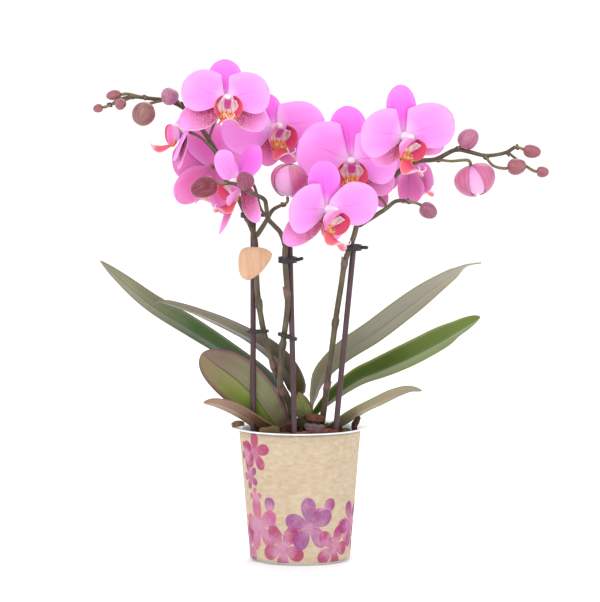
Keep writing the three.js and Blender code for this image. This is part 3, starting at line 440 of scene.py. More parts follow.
# Chips that stand out in the photograph: size, place, turns in degrees, and hue, shade and moss.
NOTED_CHIPS = [
    ((9, 7, 3.4), (-44.3, -5, 97.6), (0, -10, 10), (0.8, 0.0, 0.3)),
    ((11.5, 3.8, 2.6), (39.4, -12, 98.5), (20, -68, 15), (0.2, 0.2, 0.0)),
    ((15, 7, 6), (-21, -27.5, 94.5), (10, -8, 8), (0.75, 0.1, 0.8)),
    ((14, 7, 4), (10, -27, 97.5), (5, 4, -8), (0.97, 0.0, 0.0)),
    ((13, 8, 4), (11, -14, 103), (5, 6, 12), (0.6, 0.0, 0.0)),
    ((15, 9, 5), (13, -30, 93.5), (12, 0, 4), (0.58, 0.0, 0.0)),
    ((12, 7, 4), (21, -27, 94), (14, 8, -20), (0.5, 0.0, 0.0)),
    ((11, 6, 4), (2, -33.5, 92.5), (16, -5, 14), (0.62, 0.0, 0.0)),
    ((14, 7, 5), (-9, -24, 98), (8, -12, 24), (0.35, 0.25, 0.0)),
    ((13, 6, 5), (0, -22, 100), (0, 15, -30), (0.2, 0.4, 0.2)),
    ((9, 5, 4), (-11, -32.5, 92.5), (10, 0, -20), (0.5, 0.1, 0.0)),
    ((12, 7, 3), (4, -6, 106), (0, -10, 40), (0.9, 0.0, 0.0)),
]

# ---- curves and meshes ----


def unit(v):
    length = np.linalg.norm(v, axis=-1, keepdims=True)
    return v / np.maximum(length, 1e-12)


class Path:
    """Centripetal Catmull-Rom curve through the points, read by its length from 0 to 1."""

    def __init__(self, points, closed=False, fine=24):
        p = np.array(points, float)
        if closed:
            ends = np.vstack([p[-1:], p, p[:2]])
        else:
            ends = np.vstack([2 * p[0] - p[1], p, 2 * p[-1] - p[-2]])
        u = np.linspace(0, 1, fine, endpoint=False)[:, None]
        dense = []
        for a, b, c, d in zip(ends, ends[1:], ends[2:], ends[3:]):
            ka, kb, kc = (max(np.linalg.norm(y - x) ** 0.5, 1e-6) for x, y in ((a, b), (b, c), (c, d)))
            out = ((b - a) / ka - (c - a) / (ka + kb) + (c - b) / kb) * kb
            into = ((c - b) / kb - (d - b) / (kb + kc) + (d - c) / kc) * kb
            square = 3 * (c - b) - 2 * out - into
            cube = 2 * (b - c) + out + into
            dense.append(b + out * u + square * u**2 + cube * u**3)
        dense.append(ends[-2][None])
        self.points = np.vstack(dense)
        steps = np.linalg.norm(np.diff(self.points, axis=0), axis=1)
        self.lengths = np.concatenate([[0], np.cumsum(steps)])
        self.length = self.lengths[-1]

    def at(self, s):
        where = np.clip(s, 0, 1) * self.length
        return np.stack([np.interp(where, self.lengths, self.points[:, k]) for k in range(3)], -1)

    def tangent(self, s, step=0.01):
        return unit(self.at(np.minimum(s + step, 1)) - self.at(np.maximum(s - step, 0)))


class Shape:
    """Vertices, faces and per-vertex values of one part of a piece.

    `form` says where a vertex lies on its part and is its place unless it is given. `look` is the number
    of the part's material in its piece.
    """

    def __init__(self, points, faces, form=None, kind=(0, 0, 0), look=0):
        self.points = np.array(points, float).reshape(-1, 3)
        self.faces = faces
        self.form = np.array(self.points if form is None else form, float).reshape(-1, 3)
        self.kind = np.tile(np.array(kind, float), (len(self.points), 1))
        self.look = look

    def moved(self, matrix):
        m = np.array(matrix, float)
        self.points = self.points @ m[:3, :3].T + m[:3, 3]
        return self


def circle(count):
    """Angles of evenly spaced points round a ring."""
    return 2 * np.pi * np.arange(count) / count


def ring(radius, angles, z, x=0.0, y=0.0, flat=1.0):
    """Points round (x, y) at height z, with the ring's depth times `flat`."""
    across, deep = radius * np.cos(angles), flat * radius * np.sin(angles)
    return np.stack([x + across, y + deep, z + np.zeros(len(angles))], 1)


def marks(s, angles, third=0.0):
    """Form of a ring's points: s, the share of a turn and a third value."""
    none = np.zeros(len(angles))
    return np.stack([s + none, angles / (2 * np.pi), third + none], 1)


def grid_faces(n, m, start=0, closed=False, looped=False):
    """Quads of n rows and m columns; closed joins the last column to the first, and looped the rows."""
    faces = []
    for i in range(n if looped else n - 1):
        here, there = start + i * m, start + (i + 1) % n * m
        for j in range(m if closed else m - 1):
            k = (j + 1) % m
            faces.append((here + j, there + j, there + k, here + k))
    return faces


def edge_columns(count):
    """Places from -1 to 1 that crowd towards both edges."""
    return np.sin(np.linspace(-math.pi / 2, math.pi / 2, count))


def tip_rows(count, last=0.9985):
    """Stations from 0 to near 1 that crowd towards the tip."""
    return last * np.sin(np.pi / 2 * np.linspace(0, 1, count)) ** 0.9


def lens(t, rim):
    """Thickness across a blade as a share: 1 along its middle and `rim` at its edges."""
    return rim + (1 - rim) * np.sqrt(np.maximum(0, 1 - t**2))


def blade(surface, rows, columns, thickness, kind=(0, 0, 0), look=0):
    """Closed thin blade with a rounded rim about surface(s, t); form is s, t and the side."""
    s, t = np.meshgrid(rows, columns, indexing="ij")
    step = 0.004
    along = surface(np.minimum(s + step, 1), t) - surface(np.maximum(s - step, 0), t)
    across = surface(s, np.minimum(t + step, 1)) - surface(s, np.maximum(t - step, -1))
    normal = unit(np.cross(along, across))
    middle = surface(s, t)
    half = thickness(s, t)[..., None] / 2
    n, m = s.shape
    size = n * m
    border = [(0, j) for j in range(m - 1)] + [(i, m - 1) for i in range(n - 1)]
    border += [(n - 1, j) for j in range(m - 1, 0, -1)] + [(i, 0) for i in range(n - 1, 0, -1)]
    i, j = np.array(border).T
    edge = middle[i, j]
    direction = unit(np.roll(edge, -1, 0) - np.roll(edge, 1, 0))
    rim = edge + unit(np.cross(normal[i, j], direction)) * half[i, j]
    sides = [(middle + sign * normal * half).reshape(-1, 3) for sign in (1, -1)]
    faces = grid_faces(n, m) + [tuple(reversed(f)) for f in grid_faces(n, m, size)]
    on_border = [int(k) for k in i * m + j]
    for k, (here, there) in enumerate(zip(on_border, on_border[1:] + on_border[:1])):
        after = (k + 1) % len(border)
        faces.append((here, there, 2 * size + after, 2 * size + k))
        faces.append((2 * size + k, 2 * size + after, size + there, size + here))
    form = [np.stack([s.ravel(), t.ravel(), np.full(size, sign)], 1) for sign in (1, -1)]
    form.append(np.stack([s[i, j], t[i, j], np.zeros(len(border))], 1))
    return Shape(np.vstack([*sides, rim]), faces, np.vstack(form), kind, look)


def capped(rings, form=None, kind=(0, 0, 0), look=0):
    """Closed mesh through rings of points, with a point at each end's middle."""
    n, m = len(rings), len(rings[0])
    points = np.vstack([*rings, np.mean(rings[0], 0), np.mean(rings[-1], 0)])
    faces = [tuple(reversed(f)) for f in grid_faces(n, m, closed=True)]
    for j in range(m):
        k = (j + 1) % m
        faces.append((n * m, k, j))
        faces.append((n * m + 1, (n - 1) * m + j, (n - 1) * m + k))
    if form:
        form = np.vstack([*form, (0, 0.5, 0), (1, 0.5, 0)])
    return Shape(points, faces, form, kind, look)


def tube(points, size, sides, spacing, kind=(0, 0, 0), look=0):
    """Tube with rounded ends along the points; size(s) is its radius."""
    path = Path(points)
    count = max(6, int(path.length / spacing))
    ends = np.array([0.02, 0.12, 0.3, 0.6, 1.0]) * float(size(np.zeros(1))[0]) / path.length
    s = np.unique(np.concatenate([ends, np.linspace(ends[-1], 1 - ends[-1], count), 1 - ends]))
    s = s[(s > 0) & (s < 1)]
    centre, tangent, r = path.at(s), path.tangent(s), size(s)
    inset = np.minimum(np.minimum(s, 1 - s) * path.length / np.maximum(r, 1e-6), 1)
    r = r * np.sqrt(np.maximum(1 - (1 - inset) ** 2, 0.0))
    normal = unit(np.cross(tangent[0], (0.31, 0.77, 0.55)))
    angles = circle(sides)
    rings, form = [], []
    for i in range(len(s)):
        normal = unit(normal - tangent[i] * np.dot(normal, tangent[i]))
        other = np.cross(tangent[i], normal)
        rings.append(centre[i] + r[i] * (np.outer(np.cos(angles), normal) + np.outer(np.sin(angles), other)))
        form.append(marks(s[i], angles))
    return capped(rings, form, kind, look)


def steady(radius):
    """Size of a tube that has one radius."""
    return lambda s: np.full(np.shape(s), float(radius))


def rounded_profile(corners, radii, steps=4):
    """Closed profile whose corners are rounded with the given radii."""
    out = []
    n = len(corners)
    for i in range(n):
        a, b, c = (np.array(corners[(i + k) % n], float) for k in (-1, 0, 1))
        r = min(radii[i], 0.45 * np.linalg.norm(a - b), 0.45 * np.linalg.norm(c - b))
        start, end = b + unit(a - b) * r, b + unit(c - b) * r
        for u in np.linspace(0, 1, steps):
            out.append(tuple((1 - u) ** 2 * start + 2 * u * (1 - u) * b + u**2 * end))
    return out


def add(name, data, place=(0, 0, 0), aim=None):
    """New object in the scene. With an aim, its -Z looks there."""
    obj = bpy.data.objects.new(name, data)
    obj.location = place
    if aim is not None:
        obj.rotation_euler = (Vector(place) - Vector(aim)).to_track_quat("Z", "Y").to_euler()
    bpy.context.scene.collection.objects.link(obj)
    return obj


def piece(name, shapes, looks, node, smooth=True):
    """Blender object of the shapes, in metres, with its faces turned outwards. It stands for the node."""
    faces, looks_of = [], []
    start = 0
    for shape in shapes:
        faces += [tuple(start + v for v in face) for face in shape.faces]
        looks_of += [shape.look] * len(shape.faces)
        start += len(shape.points)
    mesh = bpy.data.meshes.new(name)
    mesh.from_pydata((np.vstack([shape.points for shape in shapes]) * MM).tolist(), [], faces)
    for label in ("form", "kind"):
        values = np.vstack([getattr(shape, label) for shape in shapes]).astype(np.float32)
        mesh.attributes.new(label, "FLOAT_VECTOR", "POINT").data.foreach_set("vector", values.ravel())
    for look in looks:
        mesh.materials.append(look)
    mesh.polygons.foreach_set("material_index", looks_of)
    mesh.polygons.foreach_set("use_smooth", [smooth] * len(faces))
    work = bmesh.new()
    work.from_mesh(mesh)
    bmesh.ops.remove_doubles(work, verts=work.verts, dist=1e-7)
    bmesh.ops.recalc_face_normals(work, faces=work.faces)
    work.to_mesh(mesh)
    work.free()
    mesh.update()
    obj = add(name, mesh)
    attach(obj, "root")
    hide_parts(node)


def standing(place, direction):
    """Matrix that stands local +Z along the direction, at the place."""
    turn = Vector((0, 0, 1)).rotation_difference(Vector(direction).normalized())
    return Matrix.Translation(Vector(place)) @ turn.to_matrix().to_4x4()


def spin(degrees, axis):
    return Matrix.Rotation(math.radians(degrees), 4, axis)


# ---- materials ----


def colour(text):
    """Linear colour of an sRGB hex text."""
    values = [int(text[i:i + 2], 16) / 255 for i in (1, 3, 5)]
    return tuple(v / 12.92 if v <= 0.04045 else ((v + 0.055) / 1.055) ** 2.4 for v in values) + (1.0,)


class Field:
    """Output of a material's node. Arithmetic with it adds Math nodes."""

    def __init__(self, look, socket):
        self.look = look
        self.socket = socket

    def __add__(self, other):
        return self.look.math("ADD", self, other)

    def __sub__(self, other):
        return self.look.math("SUBTRACT", self, other)

    def __rsub__(self, other):
        return self.look.math("SUBTRACT", other, self)

    def __mul__(self, other):
        return self.look.math("MULTIPLY", self, other)

    def __pow__(self, power):
        return self.look.math("POWER", self, power)

    def __abs__(self):
        return self.look.math("ABSOLUTE", self)

    def sine(self):
        return self.look.math("SINE", self)

    def cosine(self):
        return self.look.math("COSINE", self)

    def between(self, low, high):
        """Smooth step from 0 at low to 1 at high; low may be the greater."""
        ends = {"Value": self, "From Min": min(low, high), "From Max": max(low, high)}
        up = self.look.node("MapRange", ends, interpolation_type="SMOOTHSTEP")
        return up if low < high else 1.0 - up


class Look:
    """One material and short calls that add nodes to it.

    A colour given as text is the colour that the surface shows in this scene's light. `gain` is how much
    brighter than its base colour the light makes it, and `gloss` is what the reflection adds.
    """

    def __init__(self, name, roughness=0.5, gain=1.35, gloss=0.03, **sockets):
        self.material = bpy.data.materials.new(name)
        self.material.use_nodes = True
        self.tree = self.material.node_tree
        self.shader = self.tree.nodes["Principled BSDF"]
        self.shader.inputs["Roughness"].default_value = roughness
        self.gain, self.gloss = gain, gloss
        for socket, value in sockets.items():
            self.shader.inputs[socket.replace("_", " ")].default_value = value
        self.place = self.node("TexCoord", output="Object")

    def tint(self, value):
        """Base colour for the shown colour; anything but a text stays as it is."""
        if not isinstance(value, str):
            return value
        shown = colour(value)[:3]
        return tuple(min(1.0, max(0.0, (v - self.gloss) / self.gain)) for v in shown) + (1.0,)

    def node(self, kind, inputs=(), output=0, **settings):
        """Adds a node, sets or links its inputs and gives one of its outputs."""
        made = self.tree.nodes.new("ShaderNode" + kind)
        for key, value in settings.items():
            setattr(made, key, value)
        for key, value in dict(inputs).items():
            if isinstance(value, Field):
                self.tree.links.new(value.socket, made.inputs[key])
            elif value is not None:
                made.inputs[key].default_value = value
        return Field(self, made.outputs[output])

    def given(self, label):
        return self.node("Attribute", output="Vector", attribute_name=label)

    def split(self, vector):
        made = self.node("SeparateXYZ", {0: vector}).socket.node
        return [Field(self, socket) for socket in made.outputs]

    def parts(self, label):
        """The three values that each vertex carries under the label."""
        return self.split(self.given(label))

    def noise(self, scale, detail=3, rough=0.5, at=None, stretch=None):
        """Noise over the object's own space, or over `at`."""
        at = at or self.place
        if stretch:
            at = self.node("Mapping", {"Vector": at, "Scale": stretch})
        inputs = {"Vector": at, "Scale": scale, "Detail": detail, "Roughness": rough}
        return self.node("TexNoise", inputs, "Fac")

    def cells(self, scale):
        """Distance from the middle of the nearest cell."""
        return self.node("TexVoronoi", {"Vector": self.place, "Scale": scale}, "Distance")

    def math(self, operation, *values):
        return self.node("Math", dict(enumerate(values)), operation=operation)

    def mix(self, share, a, b, blend="MIX"):
        inputs = {0: share, 6: self.tint(a), 7: self.tint(b)}
        return self.node("Mix", inputs, 2, data_type="RGBA", blend_type=blend)

    def cover(self, body, *layers):
        """The body under layers of (mask, share, colour)."""
        for mask, share, tone in layers:
            body = self.mix(mask * share, body, tone)
        return body

    def ramp(self, value, *stops):
        """Colour at the value, from stops of (place, colour)."""
        field = self.node("ValToRGB", {0: value})
        elements = field.socket.node.color_ramp.elements
        for element, (place, text) in zip(elements, (stops[0], stops[-1])):
            element.position, element.color = place, self.tint(text)
        for place, text in stops[1:-1]:
            elements.new(place).color = self.tint(text)
        return field

    def paint(self, body, *bumps, rough=None):
        """Joins the colour, bumps of (height, millimetres) and a roughness of (value, low, high)."""
        ends = {"Base Color": body}
        if rough:
            value, low, high = rough
            ends["Roughness"] = self.node("MapRange", {"Value": value, "To Min": low, "To Max": high})
        for height, depth in bumps:
            inputs = {"Height": height, "Distance": depth * MM, "Strength": 1.0}
            ends["Normal"] = self.node("Bump", {**inputs, "Normal": ends.get("Normal")})
        for name, field in ends.items():
            self.tree.links.new(field.socket, self.shader.inputs[name])
        return self.material


def petal_look(name, deep, middle, pale, behind, speckled=False):
    """Tepal: white at its root, paler at the edge, with fine veins that fan out."""
    look = Look(name, 0.5, 1.12, 0.02, Subsurface_Weight=0.15, Subsurface_Scale=0.003,
                Sheen_Weight=0.06, Sheen_Roughness=0.5)
    s, t, side = look.parts("form")
    grain = look.noise(260)
    far = abs(t)
    edge = look.math("MAXIMUM", far**1.4, s**2.0).between(0.25, 1.0)
    body = look.mix(edge * 0.8 + look.noise(45, 2) * 0.25, middle, pale)
    fan = (look.noise(120, 2) * 0.24 + t) * 24.0
    vein = abs(fan.sine()).between(0.42, 0.0) * s.between(1.0, 0.2)
    body = look.mix(vein * 0.2, body, deep)
    rib = far.between(0.06, 0.0) * s.between(0.9, 0.2)
    body = look.mix(rib * 0.3, body, deep)
    if speckled:
        root = (grain * 0.3 + s).between(1.12, 0.4)
        body = look.mix(root * 0.95, body, "#b43a72")
        dots = look.cells(900).between(0.42, 0.25) * root.between(0.05, 0.6)
        body = look.cover(
            body,
            (dots, 0.6, "#f4c0d0"),
            (far.between(0.9, 1.0), 0.5, "#fbe0f0"),
        )
    else:
        root = (far * 0.12 + s).between(0.36, 0.04)
        body = look.mix(root * 0.75, body, "#ffdcff")
    body = look.mix(side.between(0.2, -0.2) * 0.85, body, look.mix(edge, *behind))
    return look.paint(body, (vein, -0.10), (rib, -0.25), (grain, 0.03), rough=(grain, 0.42, 0.62))


def column_look():
    """Column: purple at its root, then pale, with a cream cap and a magenta hollow underneath."""
    look = Look("column", 0.4, 1.1, 0.02, Subsurface_Weight=0.1, Subsurface_Scale=0.002)
    s, _, low = look.parts("form")
    cloud = look.noise(300, 2)
    body = look.ramp(s, (0.06, "#b0607c"), (0.17, "#f2aadf"), (0.4, "#fbe4f2"))
    body = look.mix(s.between(0.78, 0.9) * 0.6, body, "#fdf3e6")
    hollow = low.between(0.55, 0.9) * s.between(0.35, 0.6) * s.between(0.98, 0.85)
    body = look.mix(hollow, body, "#d65ab0")
    body = look.mix(cloud * 0.15, body, "#fbd9ea")
    return look.paint(body, (cloud, 0.05))


def bowl_look():
    """Hollow of the lip: magenta under the column, then lilac with brown and red stripes over yellow."""
    look = Look("lip_bowl", 0.42, 1.15, 0.02)
    s, t, _ = look.parts("form")
    cloud = look.noise(260)
    stripes = (cloud * 6.0 + t * 15.0).sine()
    lines = stripes.between(0.2, 0.8)
    pale = look.mix(lines * 0.5, "#fdeef6", "#c79488")
    warm = look.mix(lines, "#fdb44c", "#e2662e")
    body = look.mix((cloud * 0.3 + s).between(0.62, 0.85), pale, warm)
    heart = (s * 0.4 + abs(t)).between(0.5, 0.38) * s.between(0.56, 0.46)
    body = look.mix(heart, body, "#e063bc")
    return look.paint(body, (stripes, 0.08), (cloud, 0.05))


def lobe_look():
    """Side lobe: lilac outside, rose and salmon red inside, with a thin orange rim.

    kind is -1 on the left lobe and 1 on the right.
    """
    look = Look("lip_lobe", 0.4, 1.15, 0.02, Subsurface_Weight=0.1, Subsurface_Scale=0.002)
    s, t, side = look.parts("form")
    hand, _, _ = look.parts("kind")
    cloud = look.noise(200)
    ragged = cloud * 0.3 + t
    inside = look.mix(ragged.between(-0.8, 0.9), "#d63a94", "#f05c80")
    outside = look.mix(ragged.between(-0.6, 0.8), "#fbcdee", "#f88acb")
    body = look.mix((side * hand).between(-0.2, 0.2), inside, outside)
    rim = look.math("MAXIMUM", t, s * 0.94).between(0.93, 1.0)
    body = look.mix(rim * 0.75, body, "#fa8c6a")
    stripes = (look.noise(180, 2) * 6.0 + t * 16.0).sine()
    yellow = look.mix(stripes.between(0.1, 0.5), "#fcc868", "#e06a44")
    body = look.mix((cloud * 0.1 + s).between(0.22, 0.08), body, yellow)
    return look.paint(body, (cloud, 0.06))


def midlobe_look():
    """Mid-lobe: salmon red, with a striped yellow root, a pale rim and a lilac tip."""
    look = Look("lip_middle", 0.4, 1.15, 0.02, Subsurface_Weight=0.08, Subsurface_Scale=0.002)
    s, t, side = look.parts("form")
    cloud = look.noise(160)
    body = look.mix(abs(t).between(0.0, 1.0), "#ee4c74", "#f67684")
    stripes = (cloud * 5.0 + t * 14.0).sine()
    yellow = look.mix(stripes.between(0.0, 0.5), "#fcc050", "#e0643c")
    body = look.mix(s.between(0.2, 0.08), body, yellow)
    body = look.mix((cloud * 0.2 + s).between(0.78, 1.05), body, "#fbd0ea")
    body = look.cover(
        body,
        (abs(t).between(0.9, 1.0), 0.5, "#fcc8c0"),
        (side.between(0.2, -0.2), 0.35, "#f8a8b8"),
    )
    return look.paint(body, (cloud, 0.08))


def callus_look():
    """Comb of the lip: orange and pale yellow, with red specks; kind is its hue."""
    look = Look("lip_callus", 0.38, 1.15, 0.02)
    hue, _, _ = look.parts("kind")
    s, _, _ = look.parts("form")
    cloud = look.noise(500, 2)
    body = look.ramp(cloud * 0.3 + hue, (0.2, "#f57418"), (0.8, "#fdaa34"), (1.0, "#fff0d8"))
    body = look.cover(
        body,
        (s.between(0.8, 1.0), 0.6, "#fff0dc"),
        (look.cells(700).between(0.3, 0.16), 0.6, "#d0583c"),
    )
    return look.paint(body, (cloud, 0.1))


def tendril_look():
    look = Look("lip_tendril", 0.4, 1.1, 0.02)
    s, _, _ = look.parts("form")
    return look.paint(look.mix(s, "#fbd6e8", "#fff8f4"), (look.noise(600, 2), 0.02))


def bud_look(name, shown):
    """Bud: dusky pink with pale streaks that run from end to end, dark seams and a green root."""
    look = Look("bud_" + name, 0.36, 1.4, 0.05, Coat_Weight=0.12, Coat_Roughness=0.2,
                Specular_IOR_Level=0.35)
    s, t, _ = look.parts("form")
    lines = look.noise(3.6, 4, 0.6, look.given("form"), (0.9, 11.0, 1.0))
    cloud = look.noise(130)
    dark = look.mix(1.0, shown, (0.86, 0.7, 0.76, 1), "MULTIPLY")
    pale = look.mix(0.1, shown, (0.95, 0.6, 0.66, 1))
    body = look.mix((cloud * 0.2 + lines * 0.8).between(0.3, 0.7), dark, pale)
    seam = abs((t * (3 * math.pi)).cosine()).between(0.16, 0.0)
    body = look.cover(
        body,
        (seam, 0.8, dark),
        (s.between(0.18, 0.02), 0.6, "#a09a5c"),
    )
    return look.paint(body, (seam, -0.2), (lines, 0.04), (cloud, 0.03), rough=(cloud, 0.28, 0.45))


def inner_petal_look():
    """Folded petals between the sepals of an opening bud."""
    look = Look("bud_petal", 0.45, 1.2, 0.02, Subsurface_Weight=0.1, Subsurface_Scale=0.003)
    s, _, _ = look.parts("form")
    lines = look.noise(3.0, 3, 0.5, look.given("form"), (1.0, 10.0, 1.0))
    body = look.mix(s.between(0.15, 0.9), "#f0a4da", "#fdd2f8")
    body = look.mix(lines * 0.4, body, "#e58ad0")
    return look.paint(body, (lines, 0.05))


def stem_look():
    """Stem: olive and taupe, mottled, with purple nodes; kind is how young and how near a node it is."""
    look = Look("stem", 0.45, Coat_Weight=0.04, Coat_Roughness=0.3)
    young, node, _ = look.parts("kind")
    long = look.noise(170, 4, 0.6, stretch=(1.0, 1.0, 0.35))
    dots = look.cells(1100).between(0.33, 0.18)
    body = look.mix(long.between(0.3, 0.72), "#544a3c", "#83795c")
    body = look.cover(
        body,
        (look.noise(45, 2).between(0.42, 0.66), 0.55, "#66504e"),
        (dots, 0.35, "#a39a7c"),
    )
    body = look.mix(young, body, "#aba26a")
    body = look.mix(node, body, "#8c6a66")
    return look.paint(body, (long, 0.06), (dots, 0.03), rough=(long, 0.38, 0.58))


def leaf_look(name, near, other, margin, ridge):
    """Leaf: each half runs through three colours to the tip, with fine long veins and a tinted rim."""
    look = Look("leaf_" + name, 0.4, 1.45, 0.035, Specular_IOR_Level=0.3)
    s, t, _ = look.parts("form")
    far = abs(t)
    lines = look.noise(3.0, 4, 0.65, look.given("form"), (0.8, 16.0, 0.1))
    cloud = look.noise(26)
    grain = look.noise(420)
    along = cloud * 0.24 - 0.12 + s
    halves = [look.ramp(along, *zip((0.12, 0.5, 0.9), tones)) for tones in (near, other)]
    # The halves' colours hold painted light and shade of the fold as well as the upper side's and
    # underside's own colours.
    body = look.mix(t.between(0.06, -0.06), *halves)
    body = look.mix(lines.between(0.35, 0.68), body, (0.72, 0.74, 0.7, 1), "MULTIPLY")
    body = look.mix(cloud.between(0.5, 0.8) * 0.3, body, (1.3, 1.25, 1.3, 1), "MULTIPLY")
    rim = (cloud * 0.14 + far).between(0.88, 1.04)
    body = look.cover(
        body,
        (rim, 0.75, margin),
        (far.between(0.05, 0.0), 0.75, ridge),
        (look.noise(900, 2).between(0.66, 0.74), 0.12, "#f0efe0"),
    )
    rough = (grain * 0.5 + lines * 0.5, 0.34, 0.56)
    return look.paint(body, (lines, 0.05), (cloud, 0.3), (grain, 0.015), rough=rough)


def bark_look():
    """Bark: kind is hue, shade and moss."""
    look = Look("bark", 0.85, 1.2, 0.02)
    hue, shade, moss = look.parts("kind")
    grain = look.noise(0.5, 6, 0.7, look.given("form"), (0.5, 1.0, 2.6))
    pits = look.noise(900, 5, 0.7)
    tones = ((0.0, "#33221f"), (0.3, "#5e3a30"), (0.55, "#87503f"), (0.8, "#97705e"), (1.0, "#86707a"))
    body = look.ramp(hue, *tones)
    body = look.mix(grain.between(0.35, 0.7), body, (0.4, 0.36, 0.38, 1), "MULTIPLY")
    body = look.mix(pits.between(0.55, 0.75) * 0.35, body, "#c9a48c")
    body = look.mix(moss * pits.between(0.3, 0.65), body, "#6a6a38")
    # The shade value mixes in near-black: on the heap it is painted shade in the gaps under the chips; on
    # the chips it makes some darker.
    body = look.mix(shade, body, "#1d1513")
    return look.paint(body, (grain, 0.35), (pits, 0.25), rough=(pits, 0.7, 0.95))


def stick_look():
    look = Look("stick", 0.45)
    grain = look.noise(5, 4, 0.6, look.given("form"), (3.0, 10.0, 1.0))
    body = look.mix(grain, "#4a363c", "#6d5458")
    body = look.mix(look.noise(60, 2).between(0.5, 0.8) * 0.4, body, "#786066")
    return look.paint(body, (grain, 0.06), rough=(grain, 0.36, 0.55))


def clip_look():
    look = Look("clip", 0.3, Coat_Weight=0.2, Coat_Roughness=0.2)
    cloud = look.noise(300)
    body = look.mix(cloud, "#201c25", "#35313a")
    return look.paint(body, (look.noise(1500, 2), 0.02), rough=(cloud, 0.3, 0.5))


def tag_look():
    look = Look("tag_wood", 0.6)
    grain = look.noise(420, 5, 0.65, stretch=(1.0, 1.0, 0.12))
    rings = look.noise(60, stretch=(1.0, 1.0, 0.3))
    body = look.mix(grain.between(0.35, 0.7), "#f1c8a6", "#e6b48e")
    body = look.mix(rings.between(0.5, 0.7) * 0.3, body, "#dba67c")
    return look.paint(body, (grain, 0.04), rough=(grain, 0.52, 0.7))


def pot_look():
    look = Look("pot_plastic", 0.3, 1.0, 0.0, Subsurface_Weight=0.05, Subsurface_Scale=0.002)
    body = look.mix(look.noise(35, 2).between(0.4, 0.7), "#eef1f2", "#e4e9ea")
    return look.paint(body, (look.noise(700, 2), 0.012), rough=(look.noise(240), 0.26, 0.4))


def floor_look():
    look = Look("floor", 0.6, 1.0, 0.0)
    return look.paint(look.mix(look.noise(3, 2), "#ffffff", "#fdfdfd"))


# The print: its colours, how many blossoms the band has, and the turn about the pot as a share of a full
# one, the height and the size of those in the corner.
PRINT_COLOURS = ("#c2487e", "#b04c8e", "#d8749f", "#b84674", "#a9609f")
BAND_BLOSSOMS = 12
GIRTH = 2 * math.pi * POT_TOP_RADIUS
CORNER_BLOSSOMS = ((0.612, 80, 15), (0.585, 62, 10), (0.603, 47, 8), (0.572, 78, 10))


class Print(Look):
    """Paper with a watercolour print, on a flat map of the distance around the pot and the height."""

    def __init__(self, name):
        super().__init__(name, 0.8)
        east, north, up = self.split(self.place)
        self.turn = self.math("ARCTAN2", north, east) * (0.5 / math.pi)
        self.around = self.turn * GIRTH
        self.height = up * (1 / MM)
        self.wash = self.noise(90, 4, 0.6)

    def stamp(self, body, u, v, size, turn, text, count=5, slim=0.55):
        """Blossom of `count` petals, or with a greater `slim` a leaf, over the body."""
        x = self.math("WRAP", self.around - u, GIRTH / 2, -GIRTH / 2)
        y = self.height - v
        reach = (x * x + y * y) ** 0.5
        angle = self.math("ARCTAN2", y, x)
        petal = abs((angle * (count / 2) + turn).cosine()) ** slim
        outline = petal * (0.85 * size) + 0.17 * size - reach - self.wash * (0.1 * size)
        rays = abs((angle * (3.0 * count) + turn).sine())
        line = rays.between(0.2, 0.05) * reach.between(0.8 * size, 0.25 * size)
        depth = self.wash * 1.6 + reach * (0.5 / size)
        tint = self.mix(depth.between(0.7, 1.25), "#dc98bf", text)
        tint = self.mix(line * 0.75, tint, "#ecd6ba")
        return self.mix(outline.between(0.0, 0.04 * size) * 0.92, body, tint)


def paper_look():
    """Kraft paper with a band of plain five-petalled blossoms and leaves along a wavy stalk."""
    look = Print("sleeve_paper")
    wrinkle = look.noise(190, stretch=(1.0, 1.0, 2.0))
    fibre = look.noise(700, 4, 0.6, stretch=(1.0, 1.0, 5.0))
    body = look.mix(fibre.between(0.3, 0.7), "#dcc6a8", "#e6d3b8")
    # The wash tints the paper at random; the two wrinkle layers are painted shade in the wrinkles' valleys
    # and painted light on their crests.
    body = look.cover(
        body,
        (look.wash.between(0.45, 0.7), 0.15, "#d2b793"),
        (wrinkle.between(0.52, 0.3), 0.4, "#cdb18a"),
        (wrinkle.between(0.5, 0.7), 0.5, "#efdfc6"),
    )
    stalk = (look.turn * (2 * math.pi * 8)).sine() * 7.0 + 25.0
    body = look.mix(abs(look.height - stalk).between(0.9, 0.5) * 0.9, body, "#cf7fa6")
    random.seed(PRINT_SEED)
    for i in range(BAND_BLOSSOMS):
        u = GIRTH * (i + 0.35) / BAND_BLOSSOMS
        tall = 11 + 15 * (i % 2) + 3 * random.random()
        size = 17 + 4 * random.random()
        leaf_tint = PRINT_COLOURS[(i + 2) % 5]
        body = look.stamp(body, u + 12, tall + 11, 11, random.random() * 3, leaf_tint, 2, 1.6)
        body = look.stamp(body, u, tall, size, random.random() * 3, PRINT_COLOURS[i % 5])
    for i, (share, v, size) in enumerate(CORNER_BLOSSOMS):
        body = look.stamp(body, GIRTH * share, v, size, share * 40, PRINT_COLOURS[i])
    return look.paint(body, (wrinkle, 1.0), (fibre, 0.05), rough=(fibre, 0.72, 0.9))


# ---- pot, sleeve, bark ----


def wall_radius(z):
    return POT_BASE_RADIUS + (POT_TOP_RADIUS - POT_BASE_RADIUS) * z / POT_HEIGHT


def turned(profile, sides):
    """Open shell turned about Z from a profile of radius and height."""
    angles = circle(sides)
    points = np.vstack([ring(r, angles, z) for r, z in profile])
    return Shape(points, grid_faces(len(profile), sides, closed=True))


